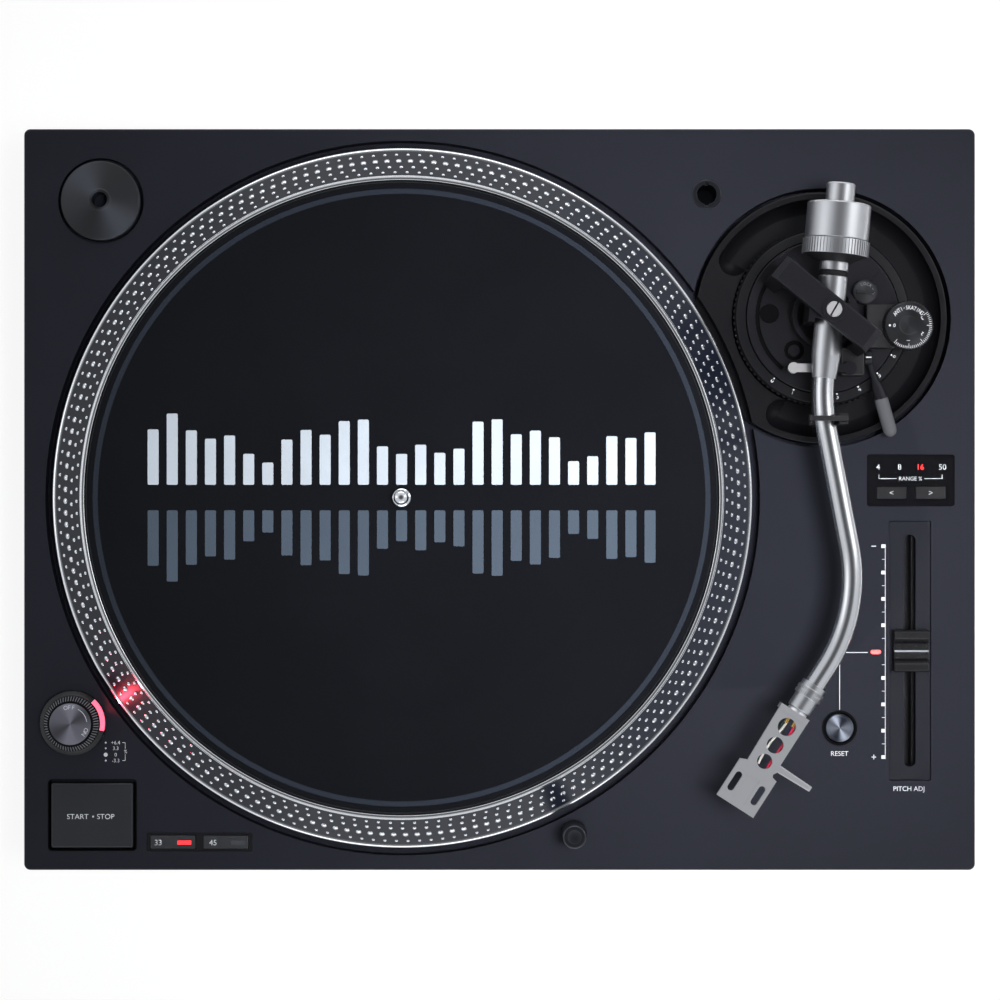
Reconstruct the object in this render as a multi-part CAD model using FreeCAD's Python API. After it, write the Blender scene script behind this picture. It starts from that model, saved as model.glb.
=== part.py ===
import FreeCAD, Part
import math
import os

# A direct-drive record turntable, in millimetres. The origin is at the centre of its footprint, on the
# surface it stands on, with +Z up, +Y to the rear and +X to the arm's side.

# Plinth: a die-cast deck on a resin base tub
PLINTH_CORNER_R = 3.0
BASE_H = 40.0
DECK_H = 26.0
FOOT_GAP = 26.0
DECK_PLATE = 6.0
DECK_WALL = 6.0
DECK_EDGE_R = 1.2
BASE_WALL = 9.0
BASE_FLOOR = 5.0
BASE_CHAMFER = 2.4
SEAM_STEP = 1.0

# Clearances
SLIDE_GAP = 0.2      # a button or an insert in its window
RUN_GAP = 0.05       # a shaft or stem in its hole
FREE_GAP = 0.3       # faces that pass each other
GLUE_GAP = 0.02      # a tube glued into its socket

# Platter, its well and its drive. The margins from its rim to the edges give the plinth's size.
PLATTER_R = 166.0
MARGIN_LEFT = 14.4
MARGIN_FRONT = 11.2
MARGIN_REAR = 9.8
WELL_MARGIN = 4.2
WELL_DEPTH = 10.0
PAN_WALL = 4.0
PAN_FLOOR = 5.0
LIP_RISE = 5.0       # top of the outer lip above the deck
LIP_W = 1.6
BAND_W = 12.8        # sloped strobe band, measured flat
RIM_RISE = 15.0      # inner rim above the deck
RIM_W = 2.0
MAT_SINK = 2.0       # mat floor below the inner rim
PLATTER_WEB = 6.0
SKIRT_DROP = 7.0     # skirt of the platter below the deck
SKIRT_W = 6.0
LIFT_HOLE_R = 8.0
LIFT_HOLE_AT = 112.0
DAMPER_T = 5.0
SPINDLE_R = 3.6
SPINDLE_RISE = 28.0  # spindle tip above the deck
SPINDLE_SEAT_R = 4.2
SPINDLE_HUB_R = 5.8
SPINDLE_FLANGE_R = 9.6
SPINDLE_FLANGE_T = 8.0
SHAFT_R = 5.0
SHAFT_L = 58.0
BEARING_WALL = 4.0
MAT_R = 148.6
MAT_T = 3.0
MOTOR_R = 60.0
MOTOR_WALL = 3.0
MOTOR_DEPTH = 25.0
MAGNET_R = 52.0
MAGNET_W = 10.0
MAGNET_H = 24.0
COIL_COUNT = 12
COIL_R = 6.5
COIL_RING_R = 28.0
COIL_H = 28.0

# Feet
FOOT_R = 30.5
FOOT_FROM_SIDE = 50.0
FOOT_FROM_FRONT = 48.0
FOOT_STUD_R = 4.0
FOOT_STUD_L = 22.0
FOOT_BOSS_WALL = 5.0

# Base screws
SCREW_SHANK_R = 2.0
SCREW_HEAD_R = 3.8
SCREW_HEAD_H = 2.6
SCREW_BOSS_WALL = 3.2
SCREW_BITE = 12.0    # length of thread in the deck

# Start button, reset button and speed buttons, placed from the left or right and front edges
START_FROM_LEFT = 32.6
START_FROM_FRONT = 26.2
START_W = 38.9
START_D = 30.7
START_RISE = 1.2
BUTTON_GAP = 1.8     # dark gap round the start and reset buttons
BUTTON_SINK = 8.0    # pocket depth below the deck
POCKET_WALL = 3.0
STEM_R = 4.0
RESET_FROM_RIGHT = 64.6
RESET_FROM_FRONT = 67.7
RESET_R = 6.6
SPEED_FROM_LEFT = 83.6
SPEED_FROM_FRONT = 13.4
SPEED_BEZEL_W = 50.4
SPEED_BEZEL_D = 8.9
SPEED_BUTTON_W = 21.4
SPEED_BUTTON_D = 6.2
SPEED_PITCH = 25.2
FLANGE_T = 2.0       # flange of a bezel or panel, under the deck
FLANGE_LAP = 2.0
BEZEL_SINK = 0.4

# Power knob on the strobe lamp housing
STROBE_FROM_LEFT = 23.9
STROBE_FROM_FRONT = 70.3
STROBE_R = 15.4
STROBE_H = 8.0
STROBE_SHOULDER = 2.0
WINDOW_FROM_DEG = -14.0
WINDOW_TO_DEG = 47.0
WINDOW_H = 4.0
WINDOW_T = 2.0
POWER_R = 12.9
POWER_TOP_R = 10.4
POWER_H = 5.6
POWER_RIBS = 48

# Pop-up target light
LIGHT_ANGLE = -62.95   # round the platter, from the X axis
LIGHT_FROM_WELL = 8.56
LIGHT_R = 5.6
LIGHT_RISE = 24.0
LIGHT_L = 36.0
SLEEVE_WALL = 0.75

# Pitch panel, its fader and the range panel
PITCH_FROM_RIGHT = 31.0
PITCH_MARGIN = 42.7      # from the front edge to the pitch panel
PITCH_PANEL_W = 20.1
PITCH_END = 6.55         # panel beyond each end of the slot
PITCH_PANEL_SINK = 1.2
PITCH_SLOT_W = 5.5
PITCH_TRAVEL = 50.0
FADER_STEM_W = 3.0
FADER_STEM_D = 8.0
FADER_KNOB_W = 16.5
FADER_KNOB_D = 20.0
FADER_KNOB_H = 8.6
FADER_BODY_W = 12.0
FADER_BODY_H = 12.0
RANGE_FROM_RIGHT = 30.6
RANGE_GAP = 6.9          # between the two panels
RANGE_W = 41.8
RANGE_D = 24.8
RANGE_RISE = 0.4
RANGE_BUTTON_W = 14.2
RANGE_BUTTON_D = 5.7
RANGE_BUTTON_PITCH = 18.6
RANGE_BUTTON_BACK = 5.9   # button row, in front of the panel's centre
BUTTON_PROUD = 0.7

# Adapter for large-hole records and the stand for a spare headshell
ADAPTER_FROM_LEFT = 36.7
ADAPTER_FROM_REAR = 34.3
ADAPTER_R = 19.0
ADAPTER_H = 12.0
ADAPTER_SINK = 6.0
ADAPTER_GAP = 1.4
ADAPTER_BORE_R = 3.7
STAND_FROM_REAR = 31.2
STAND_FROM_RIGHT = 127.8
STAND_FLANGE_R = 7.0
STAND_R = 6.0
STAND_BORE_R = 4.7
STAND_DEPTH = 24.0
STAND_LIP = 0.8

# Arm base
PIVOT_FROM_RIM = 33.3    # beyond the platter's rim, to the right
PIVOT_FROM_RIGHT = 73.3
PIVOT_FROM_REAR = 90.1
ARM_BASE_R = 59.8
ARM_BASE_GAP = 2.0
ARM_WELL_DEPTH = 14.0
ARM_BASE_RISE = 1.0
TROUGH_MARGIN = 3.0
TROUGH_DEPTH = 10.5
TROUGH_FLAT = 0.5
TROUGH_FROM_DEG = -113.0
TROUGH_TO_DEG = 147.0
RING_R = 42.2
RING_WALL = 5.7
RING_RISE = 7.5
RING_RIBS = 90
RING_RIB_DEPTH = 0.5
MOUNT_PLATE_T = 10.0
MOUNT_RISE = 8.5     # top of the arm mount plate above the deck
PLATE_TAB_LEFT = 25.5     # round step in the mount plate, from the pivot
PLATE_TAB_R = 4.6
PLATE_SCREW_LEFT = 13.7   # slotted screw in the mount plate, from the pivot
PLATE_SCREW_FRONT = 15.9
STEM_BORE_R = 30.0
ARM_AXIS_RISE = 39.0  # arm axis above the deck

# Gimbal and its bridge
CUP_R = 15.6
CUP_WALL = 2.2
CUP_H = 11.0
POST_R = 8.0
GIMBAL_CHEEK_T = 3.0
GIMBAL_CHEEK_L = 12.0
GIMBAL_BAR_T = 2.8
PITCH_PIN_R = 1.2
YAW_PIN_R = 1.5
BRIDGE_ANGLE = -39.0
BRIDGE_W = 11.8
BRIDGE_T = 6.0
BRIDGE_LEG = 7.0
BRIDGE_REACH_FRONT = 24.0
BRIDGE_REACH_REAR = 32.0
BRIDGE_CHAMFER = 3.0
BRIDGE_SCREW_R = 3.6
BRIDGE_BOSS_R = 5.5

# Arm: distances along its axis are from the pivot, positive to the front
ARM_LEAN = 5.1       # degrees from the Y axis
HOUSING_R = 6.75
HOUSING_REAR = 16.8
HOUSING_FRONT = 20.3
CONE_FRONT = 30.8
CONE_R = 5.6
TUBE_R = 4.95
TUBE_WALL = 0.6
TUBE_FROM = 22.0
BEND_1_AT = 42.9
BEND_1_RUN = 13.0    # from the bend's corner to where its arc starts
BEND_2_RIGHT = 14.67 # second bend's corner, from the pivot
BEND_2_FRONT = 138.8
BEND_2_RUN = 31.0
SHELL_ANGLE = 32.7   # headshell's offset from the Y axis, to the platter's side
TUBE_END_RUN = 54.2  # from the second bend's corner to the tube's end
STUB_R = 6.7
STUB_BORE_R = 4.6
STUB_REAR = 59.9
COLLAR_FROM = 19.1
COLLAR_TO = 22.8
GROOVE_R = 6.0
WEIGHT_R = 14.8
WEIGHT_FRONT = 33.5
WEIGHT_REAR = 50.4
WEIGHT_SLEEVE_R = 8.4
WEIGHT_RIM = 1.6
WEIGHT_RECESS = 11.5
DIAL_R = 15.5
DIAL_KNURL_W = 7.2
DIAL_RIBS = 60
DIAL_SPIGOT_R = 9.5
DIAL_SPIGOT_L = 4.5

# Locking nut and headshell, along the headshell's axis from its rear edge
NUT_R = 5.75
NUT_KNURL_R = 6.5
NUT_REAR_R = 6.0
NUT_KNURL_FROM = 12.8
NUT_KNURL_TO = 8.3
NUT_REAR = 15.2
NUT_FRONT = 1.4
NUT_RIBS = 36
NECK_R = 4.9
PLUG_R = 4.0
PLUG_L = 13.0
SHELL_L = 52.0
SHELL_NARROW_W = 15.1
SHELL_WIDE_W = 20.1
SHELL_WIDE_FROM = 32.0
SHELL_T = 2.0
SHELL_PLATE_RISE = 2.9   # underside of the plate above the arm axis
SHELL_WALL_T = 2.4
SHELL_OFFSET = 1.17      # plate's centreline from the plug's, to the platter's side
SHELL_HOLES = ((8.2, 4.2), (18.2, 3.9), (27.1, 3.55))
SHELL_SLOT_PITCH = 12.7
SHELL_SLOT_W = 3.2
SHELL_SLOT_FROM = 37.2
SHELL_SLOT_TO = 47.1
FINGER_AT = 26.6
FINGER_L = 18.0
FINGER_ROOT_W = 3.7
FINGER_TIP_W = 2.5
FINGER_T = 1.6
PIN_R = 0.7
PIN_SPREAD = 1.8
LEAD_R = 0.6
LEAD_L = 26.0

# Arm rest and clip
REST_AT = 50.0       # from the pivot
REST_W = 5.0
REST_LEDGE = 6.5
REST_BLOCK_W = 4.0
REST_BLOCK_GAP = 1.15  # from the tube to the block beside it
CLIP_LIP_W = 1.8
CLIP_T = 2.0
CLIP_ROOM = 7.0      # between the tube and the clip's roof, for the arm's lift
CLIP_D = 2.4
CLIP_HUB_R = 2.3
CLIP_HUB_RISE = 5.5  # hinge above the arm axis

# Lift block, bar and lever; lock knob; anti-skate box and knob (from the pivot)
LIFT_BLOCK_X = 12.8
LIFT_BLOCK_Y = -21.9
LIFT_BLOCK_W = 10.9
LIFT_BLOCK_D = 13.0
LIFT_BLOCK_H = 12.0
LIFT_ROD_R = 2.0
LIFT_TRAVEL = 4.0
LIFT_CLEAR = 1.0     # left below the arm with the bar raised
LIFT_BAR_W = 4.0
LIFT_BAR_T = 2.5
LIFT_BAR_L = 26.5
LIFT_HEAD_R = 2.6
LIFT_HEAD_RISE = 0.8
LEVER_HUB_R = 3.6
LEVER_HUB_T = 3.4
LEVER_PIN_R = 1.5
LEVER_TIP_R = 3.4
LEVER_DROP = 6.0
LEVER_HUB_RISE = 7.5
LEVER_KNEE = (4.4, 14.0)      # to the right and to the front of the hub
GRIP_FROM = (6.8, 18.5)
GRIP_TO = (11.4, 34.5)
LOCK_X = 19.3
LOCK_Y = 11.3
LOCK_R = 5.8
LOCK_H = 5.2
SKATE_X = 38.6
SKATE_Y = -5.1
SKATE_BOX_FROM = 19.5
SKATE_BOX_W = 20.2
SKATE_BOX_H = 10.0
SKATE_KNOB_R = 11.8
SKATE_KNOB_H = 5.5
SKATE_RIBS = 50

# Rear face: lid hinge sockets, jacks, ground terminal and mains inlet
HINGE_FROM_SIDE = 62.0
HINGE_W = 24.0
HINGE_H = 9.0
HINGE_DEPTH = 16.0
HINGE_WALL = 3.0
JACK_FROM_RIGHT = 96.0
JACK_PITCH = 16.0
JACK_R = 4.15
JACK_BORE_R = 1.6
JACK_L = 9.0
JACK_COLLAR_R = 5.4
JACK_POCKET_W = 58.0
JACK_POCKET_H = 20.0
JACK_POCKET_DEPTH = 14.0
GROUND_R = 3.8
GROUND_FROM_END = 6.0
INLET_FROM_LEFT = 96.0
INLET_W = 30.0
INLET_H = 20.0
INLET_SOCKET_W = 14.6
INLET_SOCKET_H = 7.8
INLET_DEPTH = 12.0
INLET_PIN_PITCH = 8.6
INLET_PIN_R = 1.2

# Held inside the base
BOARD_W = 120.0
BOARD_D = 60.0
BOARD_T = 1.6
BOARD_POST_H = 8.0
BOARD_FROM_LEFT = 67.0
BOARD_FROM_FRONT = 35.0
CORE_W = 60.0
CORE_D = 26.0
CORE_H = 30.0
WINDING_W = 38.0
WINDING_D = 44.0
CORE_FEET_W = 78.0
CORE_FROM_REAR = 71.0

# Levels and places that follow from the sizes above
PLINTH_W = MARGIN_LEFT + 2 * PLATTER_R + PIVOT_FROM_RIM + PIVOT_FROM_RIGHT
PLINTH_D = MARGIN_FRONT + 2 * PLATTER_R + MARGIN_REAR
LEFT = -PLINTH_W / 2
RIGHT = PLINTH_W / 2
FRONT = -PLINTH_D / 2
REAR = PLINTH_D / 2
SEAM_Z = FOOT_GAP + BASE_H
DECK_Z = SEAM_Z + DECK_H
UNDER_DECK_Z = DECK_Z - DECK_PLATE
WELL_R = PLATTER_R + WELL_MARGIN
WELL_FLOOR_Z = DECK_Z - WELL_DEPTH
PAN_Z = WELL_FLOOR_Z - PAN_FLOOR
PLATTER_X = LEFT + MARGIN_LEFT + PLATTER_R
PLATTER_Y = FRONT + MARGIN_FRONT + PLATTER_R
ARM_X = RIGHT - PIVOT_FROM_RIGHT
ARM_Y = REAR - PIVOT_FROM_REAR
ARM_WELL_R = ARM_BASE_R + ARM_BASE_GAP
ARM_WELL_Z = DECK_Z - ARM_WELL_DEPTH
ARM_Z = DECK_Z + ARM_AXIS_RISE
MOUNT_Z = DECK_Z + MOUNT_RISE
RING_SEAT_R = RING_R + 0.5
TROUGH_R = ARM_BASE_R - TROUGH_MARGIN
TROUGH_HALF_W = (TROUGH_R - RING_SEAT_R) / 2
RING_FLOOR_Z = DECK_Z - 7.2
RING_INNER_R = RING_R - RING_WALL
MOUNT_R = RING_INNER_R - 2 * SLIDE_GAP
MAT_Z = DECK_Z + RIM_RISE - MAT_SINK
RIM_OUT_R = PLATTER_R - LIP_W - BAND_W
RIM_IN_R = RIM_OUT_R - RIM_W
CHEEK_IN = HOUSING_R + 0.85
GIMBAL_BAR_Z = ARM_Z + HOUSING_R + 1.4
BRIDGE_Z = GIMBAL_BAR_Z + GIMBAL_BAR_T + 0.5
CUP_TOP_Z = MOUNT_Z + CUP_H
GIMBAL_FOOT_Z = CUP_TOP_Z + 2.5
PITCH_X = RIGHT - PITCH_FROM_RIGHT
PITCH_SLOT_D = 2 * PITCH_TRAVEL + FADER_STEM_D + 2.5
PITCH_PANEL_D = PITCH_SLOT_D + 2 * PITCH_END
PITCH_Y = FRONT + PITCH_MARGIN + PITCH_PANEL_D / 2
PITCH_FACE_Z = DECK_Z - PITCH_PANEL_SINK
INSERT_Z = UNDER_DECK_Z - FLANGE_T
RANGE_X = RIGHT - RANGE_FROM_RIGHT
RANGE_Y = PITCH_Y + PITCH_PANEL_D / 2 + RANGE_GAP + RANGE_D / 2
STROBE_X = LEFT + STROBE_FROM_LEFT
STROBE_Y = FRONT + STROBE_FROM_FRONT
LIGHT_X = PLATTER_X + (WELL_R + LIGHT_FROM_WELL) * math.cos(math.radians(LIGHT_ANGLE))
LIGHT_Y = PLATTER_Y + (WELL_R + LIGHT_FROM_WELL) * math.sin(math.radians(LIGHT_ANGLE))
START_X = LEFT + START_FROM_LEFT
START_Y = FRONT + START_FROM_FRONT
SPEED_X = LEFT + SPEED_FROM_LEFT
SPEED_Y = FRONT + SPEED_FROM_FRONT
RESET_X = RIGHT - RESET_FROM_RIGHT
RESET_Y = FRONT + RESET_FROM_FRONT
ADAPTER_X = LEFT + ADAPTER_FROM_LEFT
ADAPTER_Y = REAR - ADAPTER_FROM_REAR
STAND_X = RIGHT - STAND_FROM_RIGHT
STAND_Y = REAR - STAND_FROM_REAR
POCKET_Z = DECK_Z - BUTTON_SINK
LIFT_X = ARM_X + LIFT_BLOCK_X
LIFT_Y = ARM_Y + LIFT_BLOCK_Y
LIFT_BLOCK_TOP = MOUNT_Z + LIFT_BLOCK_H
SKATE_TOP_Z = MOUNT_Z + SKATE_BOX_H
INLET_X = LEFT + INLET_FROM_LEFT
JACK_X = RIGHT - JACK_FROM_RIGHT
REAR_MID_Z = FOOT_GAP + BASE_H / 2
UP = FreeCAD.Vector(0, 0, 1)
NODES = {}


def vec(x, y, z=0.0):
    return FreeCAD.Vector(x, y, z)


def disc(radius, low, high, x=0.0, y=0.0):
    """A round solid between two levels."""
    return Part.makeCylinder(radius, high - low, vec(x, y, low))


def washer(outer, inner, low, high, x=0.0, y=0.0):
    """A ring with an upright wall."""
    return disc(outer, low, high, x, y).cut(disc(inner, low - 1, high + 1, x, y))


def slab(x0, x1, y0, y1, low, high):
    return Part.makeBox(x1 - x0, y1 - y0, high - low, vec(x0, y0, low))


def plate(x, y, width, depth, low, high, corner=0.0):
    """A centred block whose upright corners may be rounded."""
    block = slab(x - width / 2, x + width / 2, y - depth / 2, y + depth / 2, low, high)
    if corner <= 0:
        return block
    upright = [e for e in block.Edges if abs(e.Vertexes[0].Z - e.Vertexes[1].Z) > 1e-6]
    return block.makeFillet(corner, upright)


def edges_at(shape, level):
    """The edges that lie flat at one level."""
    return [
        e for e in shape.Edges
        if abs(e.BoundBox.ZMin - level) < 1e-6 and abs(e.BoundBox.ZMax - level) < 1e-6
    ]


def outline(points):
    """A closed face through points in order."""
    return Part.Face(Part.makePolygon([*points, points[0]]))


def turned(profile, x=0.0, y=0.0):
    """A solid of revolution from (radius, level) points, on an upright axis."""
    face = outline([vec(radius, 0, level) for radius, level in profile])
    solid = face.revolve(vec(0, 0), UP, 360)
    solid.translate(vec(x, y))
    return solid


def prism(points, low, high):
    """An upright solid on a flat outline."""
    return outline([vec(x, y, low) for x, y in points]).extrude(vec(0, 0, high - low))


def ribbed(radius, depth, ribs, low, high, x=0.0, y=0.0):
    """A round solid with a knurled side."""
    points = []
    for i in range(2 * ribs):
        reach = radius - (depth if i % 2 else 0.0)
        angle = math.pi * i / ribs
        points.append((x + reach * math.cos(angle), y + reach * math.sin(angle)))
    return prism(points, low, high)


def joined(shapes):
    """Solids fused into one, without the seams between their faces."""
    first, *rest = shapes
    return first.fuse(rest).removeSplitter() if rest else first


def spot(x, y, angle_deg, radius):
    angle = math.radians(angle_deg)
    return x + radius * math.cos(angle), y + radius * math.sin(angle)


def sector(outer, inner, start_deg, end_deg, low, high, x, y):
    """Part of a ring, from one angle to another."""
    face = outline([vec(inner, 0, low), vec(outer, 0, low), vec(outer, 0, high), vec(inner, 0, high)])
    solid = face.revolve(vec(0, 0), UP, end_deg - start_deg)
    solid.rotate(vec(0, 0), UP, start_deg)
    solid.translate(vec(x, y))
    return solid


def four(x_from_side, y_from_front):
    """The four places that lie alike from the corners of the plinth."""
    return {
        "front_left": (LEFT + x_from_side, FRONT + y_from_front),
        "front_right": (RIGHT - x_from_side, FRONT + y_from_front),
        "rear_left": (LEFT + x_from_side, REAR - y_from_front),
        "rear_right": (RIGHT - x_from_side, REAR - y_from_front),
    }


def screw_spots():
    """Base screws: along the front and rear walls."""
    inset = BASE_WALL + SCREW_SHANK_R + 2
    columns = [LEFT + inset, LEFT + PLINTH_W * 0.36, LEFT + PLINTH_W * 0.66, RIGHT - inset]
    return [(x, y) for y in (FRONT + inset, REAR - inset) for x in columns]


# Arm frame

def arm_front():
    """Unit vector along the arm axis to the front."""
    lean = math.radians(ARM_LEAN)
    return vec(-math.sin(lean), -math.cos(lean))


def arm_side():
    """Unit vector across the arm, to the platter's side."""
    front = arm_front()
    return vec(front.y, -front.x)


def shell_front():
    angle = math.radians(SHELL_ANGLE)
    return vec(-math.sin(angle), -math.cos(angle))


def shell_side():
    """Unit vector across the headshell, to the finger lift."""
    front = shell_front()
    return vec(-front.y, front.x)


def arm_point(distance):
    return vec(ARM_X, ARM_Y, ARM_Z) + arm_front() * distance


def bend_2():
    return vec(ARM_X + BEND_2_RIGHT, ARM_Y - BEND_2_FRONT, ARM_Z)


def tube_end():
    return bend_2() + shell_front() * TUBE_END_RUN


def shell_rear():
    """Centre of the headshell's rear face, on the plug's axis."""
    return tube_end() + shell_front() * NUT_FRONT


def along(profile, start, direction):
    """A solid of revolution from (radius, distance) points, on a level axis."""
    solid = turned(profile)
    solid.Placement = FreeCAD.Placement(start, FreeCAD.Rotation(UP, direction))
    return solid


def rod(radius, start, direction, length):
    return Part.makeCylinder(radius, length, start, direction)


def beam(start, front, side, from_u, to_u, from_v, to_v, low, high):
    """A block in a turned frame: u runs to the front and v across."""
    points = [
        start + front * u + side * v
        for u, v in ((from_u, from_v), (to_u, from_v), (to_u, to_v), (from_u, to_v))
    ]
    return prism([(p.x, p.y) for p in points], low, high)


# Plinth

def rear_pocket(x, z, width, height, depth):
    return slab(x - width / 2, x + width / 2, REAR - depth, REAR + 1, z - height / 2, z + height / 2)


def hinge_spots():
    return (LEFT + HINGE_FROM_SIDE, RIGHT - HINGE_FROM_SIDE)


def hinge_z():
    return SEAM_Z + DECK_H * 0.46


def deck_pocket(x, y, width, depth, corner):
    """Walls under the deck for a button's pocket, and the pocket itself with its stem hole."""
    around = plate(
        x, y, width + 2 * POCKET_WALL, depth + 2 * POCKET_WALL,
        POCKET_Z - POCKET_WALL, UNDER_DECK_Z + 1,
    )
    pocket = plate(x, y, width, depth, POCKET_Z, DECK_Z + 1, corner)
    stem = disc(STEM_R + RUN_GAP, POCKET_Z - POCKET_WALL - 1, POCKET_Z + 1, x, y)
    return around, pocket.fuse(stem)


def plinth_top():
    body = plate(0, 0, PLINTH_W, PLINTH_D, SEAM_Z, DECK_Z, PLINTH_CORNER_R)
    body = body.makeFillet(DECK_EDGE_R, edges_at(body, DECK_Z))
    room = plate(
        0, 0, PLINTH_W - 2 * DECK_WALL, PLINTH_D - 2 * DECK_WALL, SEAM_Z - 1, UNDER_DECK_Z,
    )
    body = body.cut(room)
    adds = [
        disc(WELL_R + PAN_WALL, PAN_Z, UNDER_DECK_Z + 1, PLATTER_X, PLATTER_Y),
        disc(ARM_WELL_R + PAN_WALL, ARM_WELL_Z - PAN_WALL, UNDER_DECK_Z + 1, ARM_X, ARM_Y),
        disc(
            ADAPTER_R + ADAPTER_GAP + POCKET_WALL, DECK_Z - ADAPTER_SINK - POCKET_WALL,
            UNDER_DECK_Z + 1, ADAPTER_X, ADAPTER_Y,
        ),
    ]
    cuts = [
        disc(WELL_R, WELL_FLOOR_Z, DECK_Z + 1, PLATTER_X, PLATTER_Y),
        disc(MOTOR_R, PAN_Z - 1, DECK_Z, PLATTER_X, PLATTER_Y),
        disc(ARM_WELL_R, ARM_WELL_Z, DECK_Z + 1, ARM_X, ARM_Y),
        disc(STEM_BORE_R + 10, ARM_WELL_Z - PAN_WALL - 1, DECK_Z, ARM_X, ARM_Y),
        disc(ADAPTER_R + ADAPTER_GAP, DECK_Z - ADAPTER_SINK, DECK_Z + 1, ADAPTER_X, ADAPTER_Y),
        disc(STAND_R + RUN_GAP, SEAM_Z, DECK_Z + 1, STAND_X, STAND_Y),
        disc(STAND_FLANGE_R + RUN_GAP, DECK_Z - STAND_LIP, DECK_Z + 1, STAND_X, STAND_Y),
        disc(STROBE_R - 2 + RUN_GAP, SEAM_Z, DECK_Z + 1, STROBE_X, STROBE_Y),
        disc(LIGHT_R + RUN_GAP + SLEEVE_WALL, SEAM_Z, DECK_Z + 1, LIGHT_X, LIGHT_Y),
        plate(SPEED_X, SPEED_Y, SPEED_BEZEL_W, SPEED_BEZEL_D, SEAM_Z, DECK_Z + 1, 0.8),
        plate(PITCH_X, PITCH_Y, PITCH_PANEL_W, PITCH_PANEL_D, SEAM_Z, DECK_Z + 1, 0.8),
        plate(RANGE_X, RANGE_Y, RANGE_W, RANGE_D, SEAM_Z, DECK_Z + 1, 1.2),
    ]
    for x, y, width, depth in (
        (START_X, START_Y, START_W + 2 * BUTTON_GAP, START_D + 2 * BUTTON_GAP),
    ):
        around, pocket = deck_pocket(x, y, width, depth, 2.0)
        adds.append(around)
        cuts.append(pocket)
    reset_pocket_r = RESET_R + BUTTON_GAP
    reset_wall_r = reset_pocket_r + POCKET_WALL
    adds.append(disc(reset_wall_r, POCKET_Z - POCKET_WALL, UNDER_DECK_Z + 1, RESET_X, RESET_Y))
    cuts.append(disc(reset_pocket_r, POCKET_Z, DECK_Z + 1, RESET_X, RESET_Y))
    cuts.append(disc(STEM_R + RUN_GAP, POCKET_Z - POCKET_WALL - 1, DECK_Z, RESET_X, RESET_Y))
    boss_r = SCREW_SHANK_R + SCREW_BOSS_WALL
    for x, y in screw_spots():
        adds.append(disc(boss_r, SEAM_Z, UNDER_DECK_Z + 1, x, y))
        cuts.append(disc(SCREW_SHANK_R + RUN_GAP, SEAM_Z - 1, SEAM_Z + SCREW_BITE + 1, x, y))
    for x in hinge_spots():
        adds.append(slab(
            x - HINGE_W / 2 - HINGE_WALL, x + HINGE_W / 2 + HINGE_WALL,
            REAR - HINGE_DEPTH - HINGE_WALL, REAR - 1, SEAM_Z, UNDER_DECK_Z + 1,
        ))
        cuts.append(rear_pocket(x, hinge_z(), HINGE_W, HINGE_H, HINGE_DEPTH))
    body = body.fuse(adds)
    return body.cut(cuts).removeSplitter()


def plinth_base():
    body = plate(
        0, 0, PLINTH_W - 2 * SEAM_STEP, PLINTH_D - 2 * SEAM_STEP, FOOT_GAP, SEAM_Z, PLINTH_CORNER_R,
    )
    body = body.makeChamfer(BASE_CHAMFER, edges_at(body, FOOT_GAP))
    room = plate(
        0, 0, PLINTH_W - 2 * BASE_WALL, PLINTH_D - 2 * BASE_WALL, FOOT_GAP + BASE_FLOOR, SEAM_Z + 1,
    )
    adds = []
    cuts = []
    stud_bore_top = FOOT_GAP + FOOT_STUD_L + 2
    for x, y in four(FOOT_FROM_SIDE, FOOT_FROM_FRONT).values():
        adds.append(disc(FOOT_STUD_R + FOOT_BOSS_WALL, FOOT_GAP, stud_bore_top + FOOT_BOSS_WALL, x, y))
        cuts.append(disc(FOOT_STUD_R + RUN_GAP, FOOT_GAP - 1, stud_bore_top, x, y))
    for x, y in screw_spots():
        adds.append(disc(SCREW_SHANK_R + SCREW_BOSS_WALL, FOOT_GAP + 1, SEAM_Z, x, y))
        cuts.append(disc(SCREW_SHANK_R + RUN_GAP, FOOT_GAP - 1, SEAM_Z + 1, x, y))
        cuts.append(disc(SCREW_HEAD_R + SLIDE_GAP, FOOT_GAP - 1, FOOT_GAP + SCREW_HEAD_H + 0.4, x, y))
    wall = 3.0
    for x, width, height, depth in (
        (JACK_X, JACK_POCKET_W, JACK_POCKET_H, JACK_POCKET_DEPTH),
        (INLET_X, INLET_W, INLET_H, INLET_DEPTH + wall),
    ):
        adds.append(slab(
            x - width / 2 - wall, x + width / 2 + wall, REAR - depth - wall, REAR - 2,
            FOOT_GAP + BASE_FLOOR - 1, REAR_MID_Z + height / 2 + wall,
        ))
        cuts.append(rear_pocket(x, REAR_MID_Z, width, height, depth))
    jack_seat_y = REAR - JACK_POCKET_DEPTH - wall - 1
    for x in (JACK_X - JACK_PITCH / 2, JACK_X + JACK_PITCH / 2):
        cuts.append(rod(JACK_COLLAR_R + SLIDE_GAP, vec(x, jack_seat_y, REAR_MID_Z), vec(0, 1, 0), wall + 2))
    body = body.cut(room).fuse(adds)
    return body.cut(cuts).removeSplitter()


def base_screws():
    top = SEAM_Z + SCREW_BITE
    head_low = FOOT_GAP + 0.4
    screws = []
    for x, y in screw_spots():
        screw = turned([
            (0, head_low + 1.4), (SCREW_HEAD_R * 0.45, head_low + 1.4), (SCREW_HEAD_R * 0.45, head_low),
            (SCREW_HEAD_R, head_low), (SCREW_HEAD_R, head_low + SCREW_HEAD_H),
            (SCREW_SHANK_R, head_low + SCREW_HEAD_H), (SCREW_SHANK_R, top), (0, top),
        ], x, y)
        screws.append(screw)
    return Part.makeCompound(screws)


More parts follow.
